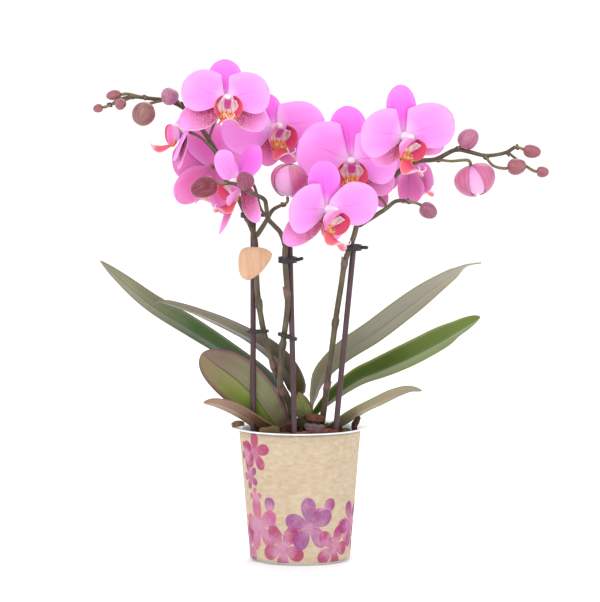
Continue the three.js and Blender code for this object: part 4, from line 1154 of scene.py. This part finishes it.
def make_pot():
    """Pot with a thin turned-up flange; its floor has a ring of drain holes."""
    lip = POT_HEIGHT - FLANGE_THICKNESS - FLANGE_RISE
    outside = wall_radius(lip)
    floor_edge = POT_BASE_RADIUS - POT_CORNER - 0.6
    corners = [
        (floor_edge, 0.0, 0.0),
        (POT_BASE_RADIUS - POT_CORNER, 0.0, 0.8),
        (wall_radius(POT_CORNER), POT_CORNER, 2.0),
        (outside, lip, 0.6),
        (outside + 2, lip + 0.2, 1.0),
        (FLANGE_RADIUS, lip + FLANGE_RISE, 0.4),
        (FLANGE_RADIUS, POT_HEIGHT, 0.4),
        (outside + 1, lip + FLANGE_THICKNESS + 0.2, 1.0),
        (outside - POT_WALL, lip, 1.0),
        (wall_radius(POT_FLOOR) - POT_WALL, POT_FLOOR, 1.5),
        (floor_edge, POT_FLOOR, 0.0),
    ]
    profile = rounded_profile([corner[:2] for corner in corners], [corner[2] for corner in corners])
    return [turned(profile, POT_SIDES), drained_floor(floor_edge)]


def drained_floor(radius):
    """Both faces of the pot's floor and the walls of its drain holes; the rim is left open for the wall."""
    holes = ring(DRAIN_CIRCLE, circle(DRAIN_COUNT), 0.0)[:, :2]
    loops = [ring(radius, circle(POT_SIDES), 0.0)[:, :2]]
    loops += [ring(DRAIN_RADIUS, circle(DRAIN_SIDES), 0.0, x, y)[:, :2] for x, y in holes]
    flat, edges = [], []
    for loop in loops:
        start, count = len(flat), len(loop)
        flat += [Vector(point) for point in loop]
        edges += [(start + k, start + (k + 1) % count) for k in range(count)]
    places, _, triangles, *_ = delaunay_2d_cdt(flat, edges, [], 1, 1e-5)
    places = np.array(places)
    size = len(places)

    def solid(face):
        middle = places[list(face)].mean(0)
        return all(np.linalg.norm(middle - hole) > DRAIN_RADIUS * 0.97 for hole in holes)

    kept = [tuple(face) for face in triangles if solid(face)]
    faces = kept + [tuple(size + v for v in reversed(face)) for face in kept]
    faces += [(a, b, size + b, size + a) for a, b in edges[POT_SIDES:]]
    return Shape(np.vstack([np.c_[places, np.full(size, z)] for z in (POT_FLOOR, 0.0)]), faces)


def make_sleeve():
    """Paper sleeve, a little crinkled, with an overlap seam at the back."""
    angles = circle(SLEEVE_SIDES)
    heights = np.linspace(SLEEVE_BOTTOM, SLEEVE_TOP, SLEEVE_ROWS)
    rng = np.random.default_rng(SLEEVE_SEED)
    waves = [(rng.integers(3, 16), rng.uniform(0.03, 0.12), *rng.uniform(0, 6, 2)) for _ in range(10)]
    seam = SEAM_RISE / (1 + np.exp((np.abs(angles - math.pi / 2) - 0.12) * 80))
    layers = []
    for proud, rows in ((SLEEVE_PAPER + seam, heights), (0.0, heights[::-1])):
        for z in rows:
            crinkle = sum(math.sin(b * z + c) * np.sin(a * angles + d) for a, b, c, d in waves)
            layers.append(ring(wall_radius(z) + SLEEVE_GAP + CRINKLE * crinkle + proud, angles, z))
    return Shape(np.vstack(layers), grid_faces(2 * SLEEVE_ROWS, SLEEVE_SIDES, closed=True, looped=True))


def bark_height(x, y):
    reach = np.minimum(np.hypot(x, y) / (wall_radius(BARK_EDGE) - POT_WALL), 1)
    return BARK_EDGE + BARK_HEAP * (1 - reach**2)


def make_heap():
    """Solid heap under the chips."""
    inside = wall_radius(BARK_EDGE) - POT_WALL - 0.4
    rows, sides = HEAP_GRID
    angles = circle(sides)
    layers = [ring(wall_radius(3) - 1.8, angles, 3.0), ring(wall_radius(40) - 1.6, angles, 40.0)]
    for r in np.linspace(inside, 1.5, rows):
        x, y = r * np.cos(angles), r * np.sin(angles)
        rough = 0.9 * np.sin(0.8 * x + 1) * np.cos(0.9 * y) + 0.6 * np.sin(1.7 * x - 1.3 * y)
        layers.append(ring(r, angles, bark_height(x, y) - 3.4 + rough * min(1, (inside - r) / 3)))
    return capped(layers, kind=HEAP_KIND)


def make_chip(rng, size, place, turns, kind):
    """One angular chip of bark: a broken slab with chipped ends and split layers."""
    length, width, height = size
    bend, skew, taper = rng.uniform(-0.12, 0.12), rng.uniform(-0.35, 0.35), rng.uniform(0.0, 0.5)
    phase = rng.uniform(0, 9, 6)
    points, faces = [], []
    for axis in range(3):
        n, m = (count for i, count in enumerate(CHIP_GRID) if i != axis)
        a, b = np.meshgrid(np.linspace(-1, 1, n), np.linspace(-1, 1, m), indexing="ij")
        for end in (-1.0, 1.0):
            faces += grid_faces(n, m, len(points))
            sides = [a.ravel(), b.ravel()]
            sides.insert(axis, np.full(n * m, end))
            points += list(np.stack(sides, 1))
    u, v, w = np.array(points).T
    narrow = 1 - taper * np.maximum(0, u) ** 2
    push = 0.10 * np.sin(3 * u + phase[0]) + 0.08 * np.sin(7 * v + phase[1] + 2 * w)
    broken = 0.12 * push + 0.06 * np.sin(9 * v + phase[2])
    x = length / 2 * (u * (1 - 0.12 * v * v - 0.05 * w * w) + broken)
    y = width / 2 * (v * narrow * (1 - 0.10 * u * u) + skew * u * 0.4 + 0.1 * np.sin(5 * u + phase[3]))
    ridge = 0.16 * np.sin(4.5 * v + phase[4]) + 0.10 * np.sin(6 * u + 3 * v + phase[5])
    z = height / 2 * (w * (1 - 0.25 * u**4) + ridge) + bend * length * (u * u - 0.3)
    turn = spin(turns[2], "Z") @ spin(turns[1], "Y") @ spin(turns[0], "X")
    return Shape(np.stack([x, y, z], 1), faces, kind=kind).moved(Matrix.Translation(Vector(place)) @ turn)


def make_chips():
    """The chips that the photograph shows, then loose ones on a spiral over the heap."""
    rng = np.random.default_rng(CHIP_SEED)
    shapes = [make_chip(rng, size, place, turns, kind) for size, place, turns, kind in NOTED_CHIPS]
    for i in range(LOOSE_CHIPS):
        angle = i * CHIP_TURN
        reach = CHIP_REACH * math.sqrt((i + 0.5) / LOOSE_CHIPS)
        x, y = reach * math.cos(angle), reach * math.sin(angle)
        long = rng.uniform(6, 12)
        size = (long, long * rng.uniform(0.45, 0.75), rng.uniform(2.2, 4.4))
        sunk = 2.2 + 0.6 * max(0.0, reach - 26) / 12
        place = (x, y, bark_height(x, y) - sunk + rng.uniform(-0.8, 1.2))
        turns = np.degrees((rng.uniform(-0.45, 0.45), rng.uniform(-0.45, 0.45), rng.uniform(0, math.pi)))
        moss = 0.6 if rng.random() < MOSSY_SHARE else 0.0
        kind = (rng.uniform(0.05, 0.95), rng.uniform(0, 0.35), moss)
        shapes.append(make_chip(rng, size, place, turns, kind))
    return shapes


# ---- leaves and crowns ----


def half_width(s, width, claw, widest, taper=0.5, opens=None):
    """Half the width of a leaf or tepal at s.

    The claw opens out up to the widest place, or up to `opens`. The tip is rounder with less taper.
    """
    opening = claw + (1 - claw) * np.sin(np.pi / 2 * np.minimum(s / (opens or widest), 1))
    closing = np.maximum(0, 1 - np.maximum((s - widest) / (1 - widest), 0) ** 2) ** taper
    return width / 2 * opening * closing


def make_leaf(leaf):
    """Leaf along its spine, folded at the middle and rolled about it."""
    spine = Path(leaf["spine"])
    steps = np.linspace(0, 1, len(leaf["roll"]))
    fold = math.radians(leaf["fold"])

    def surface(s, t):
        tangent = spine.tangent(s)
        level = unit(np.stack([-tangent[..., 1], tangent[..., 0], np.zeros_like(s)], -1))
        turn = np.radians(np.interp(s, steps, leaf["roll"]))[..., None]
        side = level * np.cos(turn) + np.cross(tangent, level) * np.sin(turn)
        up = np.cross(tangent, side)
        half = half_width(s, leaf["width"], leaf["claw"], leaf["widest"], leaf["taper"])[..., None]
        t = t[..., None]
        rise = (np.sqrt(t**2 + 0.01) - 0.1) * math.sin(fold) - 0.10 * t**4
        return spine.at(s) + side * half * t * math.cos(fold) + up * half * rise

    def thickness(s, t):
        return LEAF_THICKNESS * lens(t, 0.42) * (1 - 0.4 * s**3)

    rows, columns = LEAF_GRID
    return blade(surface, tip_rows(rows), edge_columns(columns), thickness)


def make_crown(x, y):
    """Short plant base of wrapped leaf sheaths."""
    rows, sides = CROWN_GRID
    angles = circle(sides)
    rings, form = [], []
    for u in np.linspace(0, 1, rows):
        z = CROWN_BOTTOM + (CROWN_TOP - CROWN_BOTTOM) * u
        girth = CROWN_RADIUS * (0.62 + 0.42 * math.sin(math.pi * min(1, 0.15 + 0.75 * u)))
        overlap = 0.35 * np.abs(np.sin(1.5 * angles + 5 * u)) + 0.12 * np.sin(14 * angles)
        rings.append(ring(girth * (1 - 0.2 * u * u) + overlap, angles, z, x, y, 0.9))
        form.append(marks(u, 2 * (angles - math.pi)))
    return capped(rings, form)


# ---- flowers ----


def facing(flower):
    """Matrix of the flower's frame: x right, y up and z out."""
    a, b, c = (math.radians(flower[key]) for key in ("turn", "tilt", "lean"))
    out = Vector((math.sin(a) * math.cos(b), -math.cos(a) * math.cos(b), math.sin(b)))
    level = Vector((math.cos(a), math.sin(a), 0))
    up = out.cross(level) * math.cos(c) + level * math.sin(c)
    turn = Matrix((up.cross(out), up, out)).transposed().to_4x4()
    return Matrix.Translation(Vector(flower["centre"])) @ turn


def tepal_surface(tepal, size, ruffle, is_petal, spread):
    """Surface of a tepal. The upper edges of the two petals keep apart, by `spread` more at each height."""
    at = math.radians(tepal["at"])
    hand = math.copysign(1, math.cos(at))
    a0, a1 = (math.radians(a) for a in tepal["lift"])
    length = tepal["length"] * size

    def surface(s, t):
        slope = a0 + (a1 - a0) * s / 2
        half = half_width(s, tepal["width"], tepal["claw"], tepal["widest"]) * size
        if is_petal:
            opens = tepal.get("opens", PETAL_OPENS)
            upper = half_width(s, tepal["width"], **SHOULDER, opens=opens) * size
            half = np.where(t * hand > 0, upper, half)
        reach = TEPAL_ROOT + length * s * np.cos(slope)
        x = reach * math.cos(at) - half * t * math.sin(at)
        y = reach * math.sin(at) + half * t * math.cos(at)
        if is_petal:
            edge = PETAL_GAP + spread * np.maximum(y, 0)
            past = hand * x - edge
            clear = edge + 0.5 * (past + np.sqrt(past**2 + 1))
            share = np.clip(y / 5, 0, 1)
            x = (1 - share) * x + share * hand * clear
        channel = -0.45 * np.exp(-((t / 0.09) ** 2)) * (1 - s) * np.minimum(1, 6 * s)
        wave = 0.55 * t**4 * np.sin(8 * s + ruffle) + 0.35 * s**6 * np.sin(5 * t + 2 * ruffle)
        z = tepal["level"] + length * s * np.sin(slope) + tepal["cup"] * half * t**2 + channel + wave
        return np.stack([x, y, z], -1)

    return surface


def make_tepals(flower, seed):
    """Two petals and three sepals."""
    rows, columns = TEPAL_GRID
    spread = flower.get("spread", PETAL_SPREAD)
    shapes = []

    def thickness(s, t):
        return TEPAL_THICKNESS * lens(t, 0.45) * (1.5 - 0.9 * s)

    for i, (name, usual) in enumerate(TEPALS.items()):
        tepal = {**usual, **flower.get(name, {})}
        is_petal = name.startswith("petal")
        look = 0 if is_petal else (1 if name == "dorsal" else 2)
        surface = tepal_surface(tepal, flower["size"], seed + 1.7 * i, is_petal, spread)
        shapes.append(blade(surface, tip_rows(rows), edge_columns(columns), thickness, look=look))
    return shapes


def make_column(flower):
    """Column: a short neck and a rounded cap that bends over the lip, with its hollow underneath."""
    rows, sides = COLUMN_GRID
    angles = circle(sides)
    low = np.maximum(0, -np.sin(angles)) ** 3
    rings, form = [], []
    for u in np.linspace(0.0, 1.0, rows):
        girth = float(np.interp(u, (0, 0.1, 0.3, 0.55, 0.8, 1), (0.1, 3.0, 3.4, 2.7, 2.8, 2.8)))
        if u > 0.8:
            girth *= math.sqrt(max(0.001, 1 - ((u - 0.8) / 0.2) ** 2))
        hollow = 1 - 0.45 * low * math.exp(-(((u - 0.7) / 0.16) ** 2))
        drop = -1.4 * max(0, u - 0.3) ** 2
        z = -HUB_REAR + (COLUMN_LENGTH + HUB_REAR) * u
        rings.append(ring(girth, angles, z, y=drop, flat=hollow))
        form.append(marks(u, angles, low))
    return capped(rings, form, look=3).moved(spin(flower["lip"][1], "Y"))


def bowed(x, y, z):
    """Points of the lip's ring, given in its own plane, which faces outwards and down."""
    bow = math.radians(LIP_BOW)
    up, out = LIP_CENTRE
    high = up + y * math.cos(bow) - z * math.sin(bow)
    return np.stack([x, high, out + y * math.sin(bow) + z * math.cos(bow)], -1)


def bowl_surface(s, t):
    """Hollow of the lip, under the column."""
    half = 4.2 + 3.8 * np.sin(np.pi * np.minimum(1, 0.15 + 0.75 * s))
    return bowed(half * t, 4.2 - 13.8 * s, -4.6 + 3.4 * t**2 + 3.6 * (2 * s - 0.9) ** 2)


def lobe_surface(hand):
    """Side lobe of the lip: it stands up beside the column, curls round it and flares outwards."""

    def surface(s, t):
        turn = np.radians(-64 + 128 * s)
        half = half_width(s, 10.5, 0.5, 0.45)
        reach = 8.3 + 0.46 * half * t - 0.5 * np.maximum(0, t) ** 3
        return bowed(hand * reach * np.cos(turn), 1.04 * reach * np.sin(turn), half * t)

    return surface


def middle_surface(s, t):
    """Mid-lobe of the lip: narrow at its root, broad in the middle, drawn out at the tip, and arched."""
    opening = 3.2 + 5.2 * np.sin(np.pi / 2 * np.minimum(1, s / 0.5))
    closing = 1.2 + 7.2 * np.sqrt(np.maximum(0, 1 - ((s - 0.5) / 0.5) ** 2))
    half = np.where(s < 0.5, opening, closing)
    y = -14 - 7.8 * s - 1.6 * np.sin(np.pi * s) - 0.075 * (half * t) ** 2
    return np.stack([half * t, y, 4.6 + 16.4 * s], -1)


def strand(points, root, tip, hue=0.0, look=2, mesh=RIDGE_MESH):
    """Thin pointed tube of the lip; its radius runs from root to tip."""
    return tube(points, lambda s: root + (tip - root) * s, *mesh, (hue, 0, 0), look)


def make_lip(flower):
    """Lip: side lobes, mid-lobe, bowl, a comb of ridges with two horns, and a pair of curled tendrils."""

    def thin(s, t):
        return LIP_THICKNESS * lens(t, 0.5)

    rows = tip_rows(LOBE_GRID[0])
    columns = edge_columns(LOBE_GRID[1])
    shapes = [blade(lobe_surface(hand), rows, columns, thin, (hand, 0, 0)) for hand in (-1, 1)]
    shapes.append(blade(middle_surface, np.linspace(0, 1, MIDDLE_ROWS), columns, thin, look=1))
    shapes.append(blade(bowl_surface, np.linspace(0, 1, BOWL_ROWS), columns, thin, look=4))
    for k in range(-4, 5):
        low, top = -10 + 0.12 * k * k, -5.4 + 1.3 * math.sin(2.4 * k + 1)
        ridge = [(1.4 * k, low, -0.6 + 0.12 * k * k), (1.4 * k, (low + top) / 2, 0.8), (1.25 * k, top, 0.9)]
        shapes.append(strand(bowed(*np.array(ridge).T), 0.8, 0.4, 0.5 + 0.5 * math.sin(2.1 * k)))
    for hand in (-1, 1):
        horn = [(hand * 2.2, -8.4, 0.4), (hand * 3.2, -6.4, 2.2), (hand * 2.8, -5.2, 3.4)]
        shapes.append(strand(bowed(*np.array(horn).T), 0.8, 0.35, 1.0))
        curl = [(hand * 0.6, -21.7, 20.6), (hand * 1.5, -21.8, 22.2), (hand * 2.6, -20.6, 23.4),
                (hand * 3.2, -19.2, 23.2), (hand * 2.8, -18.4, 22.2)]
        shapes.append(strand(curl, 0.42, 0.22, look=3, mesh=TENDRIL_MESH))
    lean, side = flower["lip"]
    turn = spin(side, "Y") @ spin(-lean, "Z") @ Matrix.Scale(flower["size"], 4)
    return [shape.moved(turn) for shape in shapes]


# ---- buds ----


def bud_axis(bud):
    return (Vector(bud["centre"]) - Vector(bud["root"])).normalized()


def make_bud(length, width, corners=0.03, look=0):
    """Egg of three sepals: broad at its root, with low seams and a blunt tip."""
    rows, sides = BUD_GRID
    angles = circle(sides)
    seam = 1 - 0.07 * np.exp(-((np.cos(1.5 * angles) / 0.16) ** 2)) + corners * np.cos(3 * angles)
    rings, form = [], []
    for u in np.linspace(0.012, 0.988, rows):
        z = -math.cos(math.pi * u)
        radius = width / 2 * math.sin(math.pi * u) ** BLUNT * (1 - 0.13 * z)
        rings.append(ring(radius * seam, angles, z * length / 2))
        form.append(marks(u, angles))
    return capped(rings, form, look=look)


def make_opening_bud(bud):
    """Bud whose sepals part towards the tip, with pale petals between them. One that hangs opens down."""
    length, width = bud["length"], bud["width"]

    def thin(s, t):
        return BUD_SEPAL_THICKNESS * lens(t, 0.5)

    rows, columns = BUD_SEPAL_GRID
    shapes = [make_bud(0.95 * length, 0.95 * width, look=1)]
    for at, spread, rise in bud["sepals"]:

        def surface(s, t, at=at, spread=spread, rise=rise):
            lean = np.pi * (0.04 + 0.9 * s)
            angle = np.radians(at + spread * t * (1.1 - 0.7 * s**2))
            reach = (width / 2 + rise) * np.sin(lean) ** BLUNT * (1 + 0.1 * np.cos(lean))
            reach = reach + 1.2 * np.maximum(0, s - 0.8)
            return np.stack([reach * np.cos(angle), reach * np.sin(angle), -np.cos(lean) * length / 2], -1)

        shapes.append(blade(surface, np.linspace(0, 1, rows), np.linspace(-1, 1, columns), thin))
    if bud["hangs"]:
        shapes = [shape.moved(spin(180, "X")) for shape in shapes]
    return shapes


# ---- spikes, clips, tag ----


def bud_end(name):
    """Last points of the stalk that carries the bud."""
    bud = BUDS[name]
    return [bud["root"], tuple(Vector(bud["centre"]) - bud_axis(bud) * (bud["length"] / 2 - 0.2))]


def flower_end(name):
    """Last points of the stalk that carries the flower."""
    flower = FLOWERS[name]
    out = facing(flower).to_3x3() @ Vector((0, 0, 1))
    return [tuple(Vector(flower["centre"]) - out * (HUB_REAR + far)) for far in (7, -0.6)]


def flare(s, rise, reach):
    """Thickening at the root of a twig or stalk."""
    return rise * np.exp(-((s / reach) ** 2))


def twig_size(s):
    return TWIG_RADIUS * (1.25 - 0.4 * s) + flare(s, 0.7, 0.03)


def stalk_size(s):
    return PEDICEL_RADIUS * (0.95 + 0.25 * s**3) + flare(s, 0.8, 0.06)


def bract(path, u, radius, height=6.5, turn=0.0):
    """Small scale that clasps the stem at a node and ends in a point."""
    foot, way = path.at(np.array([u]))[0], path.tangent(np.array([u]))[0]

    def surface(s, t):
        wrap = 1.9 * t * (1 - s**1.6) + turn
        r = radius + 0.25 + 0.7 * s**2
        return np.stack([r * np.cos(wrap), r * np.sin(wrap), height * (s - 0.1)], -1)

    def thin(s, t):
        return 0.45 * (1 - 0.6 * s)

    rows, columns = BRACT_GRID
    shape = blade(surface, np.linspace(0, 0.98, rows), np.linspace(-1, 1, columns), thin, BRACT_KIND)
    return shape.moved(standing(foot, way))


def make_spike(spike):
    """Stem with its nodes and bracts, its twigs, and the stalks of its buds and flowers."""

    def stem_size(s):
        swollen = sum(NODE_RISE * np.exp(-(((s - u) / 0.012) ** 2)) for u in spike["nodes"])
        return STEM_RADIUS * (1 - (1 - STEM_TIP) * s) + swollen

    path = Path(spike["stem"])
    shapes = [tube(spike["stem"], stem_size, *STEM_MESH)]
    shapes += [bract(path, u, STEM_RADIUS, turn=2.2 * i - 0.8) for i, u in enumerate(spike["nodes"])]
    shapes += [tube(twig, twig_size, *TWIG_MESH) for twig in spike["twigs"]]
    for name, points in spike["buds"].items():
        stalk = [*points, *bud_end(name)]
        shapes.append(tube(stalk, stalk_size, *STALK_MESH, BUD_STALK_KIND))
        shapes.append(bract(Path(stalk), 0.04, 1.5, 3.2, 1.0))
    for name, points in spike["flowers"].items():
        stalk = [*points, *flower_end(name)]
        shapes.append(tube(stalk, stalk_size, *STALK_MESH, FLOWER_STALK_KIND))
    return shapes


def make_stick(ends):
    """Straight round support stick."""
    middle = tuple((Vector(ends[0]) + Vector(ends[1])) / 2)
    return tube([ends[0], middle, ends[1]], steady(STICK_RADIUS), *STICK_MESH)


def make_clip(clip):
    """Spring clip: a flat band round stem and stick, with a grip at one end."""
    length, depth, height = clip["length"], clip["depth"], clip["height"]
    half_turn = np.linspace(-math.pi / 2, math.pi / 2, CLIP_STEPS)
    shift = np.repeat([1, -1], CLIP_STEPS) * (length - depth) / 2
    angles = np.concatenate([half_turn, half_turn + math.pi])
    rings = []
    for inside, rises in ((0, (-1, 1)), (CLIP_WALL, (1, -1))):
        for end in rises:
            insets = (CLIP_BEVEL, 0) if end == rises[0] else (0, CLIP_BEVEL)
            for inset in insets:
                lift = end * (height / 2 - (0 if inset else CLIP_BEVEL))
                scale = 1 + inset / (length / 2) * (1 if inside else -1)
                band = ring(depth / 2 - inside, angles, 0.0, x=shift)
                rings.append(band * (scale, scale, 1) + (0, 0, lift))
    place = Matrix.Translation(Vector(clip["centre"]))
    faces = grid_faces(len(rings), len(angles), closed=True, looped=True)
    shapes = [Shape(np.vstack(rings), faces).moved(place @ spin(clip["slope"], "Y"))]
    reach, rise = clip["grip"]
    if reach:
        route = [(-CLIP_WALL, 0, 0), (reach / 2, 0, 0), (reach, 0, 0)]
        tail = tube(route, steady(GRIP_HEIGHT / 2), *GRIP_MESH)
        wide = Matrix.Scale(GRIP_DEPTH / GRIP_HEIGHT, 4, (0, 1, 0))
        shapes.append(tail.moved(place @ Matrix.Translation((length / 2, 0, 0)) @ spin(-rise, "Y") @ wide))
    return shapes


def make_tag():
    """Thin wooden tag with softened edges."""
    edge = Path([(x, z, 0) for x, z in TAG_OUTLINE], closed=True).points[:-1:6]
    middle = edge.mean(0)
    inward = unit(middle - edge)
    face = TAG_THICKNESS - TAG_BEVEL
    rows = [(edge + inward * TAG_BEVEL, 0), (edge, TAG_BEVEL), (edge, face)]
    rows.append((edge + inward * TAG_BEVEL, TAG_THICKNESS))
    rows += [(middle + (edge - middle) * share, TAG_THICKNESS) for share in (0.7, 0.35)]
    rings = [np.stack([flat[:, 0], np.full(len(flat), -y), flat[:, 1]], 1) for flat, y in rows]
    return capped(rings).moved(Matrix.Translation(Vector(TAG_CENTRE)))


# ---- the pieces ----


def make_pieces():
    paper, bark, stick, stem, clip_dark = paper_look(), bark_look(), stick_look(), stem_look(), clip_look()
    petals = [
        petal_look("petal", "#ea62d2", "#fb96f2", "#feb0fc", ("#fb94dc", "#ffb0ee")),
        petal_look("sepal_dorsal", "#d83cae", "#fb72ee", "#fc90f8", ("#f888d6", "#fda2ec")),
        petal_look("sepal_lateral", "#cf4a94", "#f48ad2", "#fba6ee", ("#f47cc8", "#fd9ee2"), speckled=True),
        column_look(),
    ]
    lips = [lobe_look(), midlobe_look(), callus_look(), tendril_look(), bowl_look()]
    leaves = {name: leaf_look(name, *colours) for name, colours in LEAF_COLOURS.items()}
    small_bud, inner = bud_look("small", SMALL_BUD_COLOUR), inner_petal_look()

    piece("pot_shell", make_pot(), [pot_look()], "pot")
    piece("paper_sleeve", [make_sleeve()], [paper], "label_sleeve")
    piece("bark_heap", [make_heap()], [bark], "bark")
    piece("bark_chips", make_chips(), [bark], "bark", smooth=False)
    for name, at in CROWNS.items():
        piece(f"plant_base_{name}", [make_crown(*at)], [leaves["crown"]], f"crown_{name}")
    for name, ends in STICKS.items():
        piece(f"support_{name}", [make_stick(ends)], [stick], f"stick_{name}")
    for name, spike in SPIKES.items():
        piece(f"flower_spike_{name}", make_spike(spike), [stem], f"spike_{name}")
    for name, leaf in LEAVES.items():
        piece(f"blade_{name}", [make_leaf(leaf)], [leaves[name]], f"leaf_{name}")
    for name, clip in CLIPS.items():
        piece(f"spring_{name}", make_clip(clip), [clip_dark], f"clip_{name}")
    piece("wood_tag", [make_tag()], [tag_look()], "tag")
    for i, (name, flower) in enumerate(FLOWERS.items()):
        place = facing(flower)
        tepals = [shape.moved(place) for shape in [*make_tepals(flower, i), make_column(flower)]]
        piece(f"bloom_{name}", tepals, petals, f"flower_{name}_tepals")
        lip = [shape.moved(place) for shape in make_lip(flower)]
        piece(f"lip_{name}", lip, lips, f"flower_{name}_lip")
    for name, bud in BUDS.items():
        place = standing(bud["centre"], bud_axis(bud))
        look = bud_look(name, BUD_COLOURS[name]) if name in BUD_COLOURS else small_bud
        if "sepals" in bud:
            shapes = [shape.moved(place) for shape in make_opening_bud(bud)]
            piece(f"opening_{name}", shapes, [look, inner], f"bud_{name}")
        else:
            shape = make_bud(bud["length"], bud["width"], bud.get("corners", 0.03))
            piece(f"closed_{name}", [shape.moved(place)], [look], f"bud_{name}")


# ---- floor, light and camera ----


def make_studio():
    """Pale floor, soft lamps and an even white sky."""
    r = FLOOR_REACH
    mesh = bpy.data.meshes.new("floor")
    mesh.from_pydata([(-r, -r, 0), (r, -r, 0), (r, r, 0), (-r, r, 0)], [], [(0, 1, 2, 3)])
    mesh.materials.append(floor_look())
    add("floor", mesh)
    for name, light in LIGHTS.items():
        data = bpy.data.lights.new(name, "AREA")
        data.size, data.energy = light["size"], light["power"]
        add(name, data, light["place"], LIGHT_AIM)
    world = bpy.data.worlds.new("studio")
    world.use_nodes = True
    sky = world.node_tree.nodes["Background"]
    sky.inputs["Color"].default_value = (1, 1, 1, 1)
    sky.inputs["Strength"].default_value = WORLD_STRENGTH
    bpy.context.scene.world = world


def make_camera():
    data = bpy.data.cameras.new("camera")
    data.sensor_width = SENSOR
    data.lens = FOCAL_PIXELS * SENSOR / IMAGE_HEIGHT
    data.clip_start, data.clip_end = 0.1, 20
    place = Vector((0, -CAMERA_DISTANCE, CAMERA_HEIGHT)) * MM
    bpy.context.scene.camera = add("camera", data, place, Vector((0, 0, AIM_HEIGHT)) * MM)


make_pieces()
make_studio()
make_camera()
bpy.context.scene.view_settings.view_transform = "Standard"
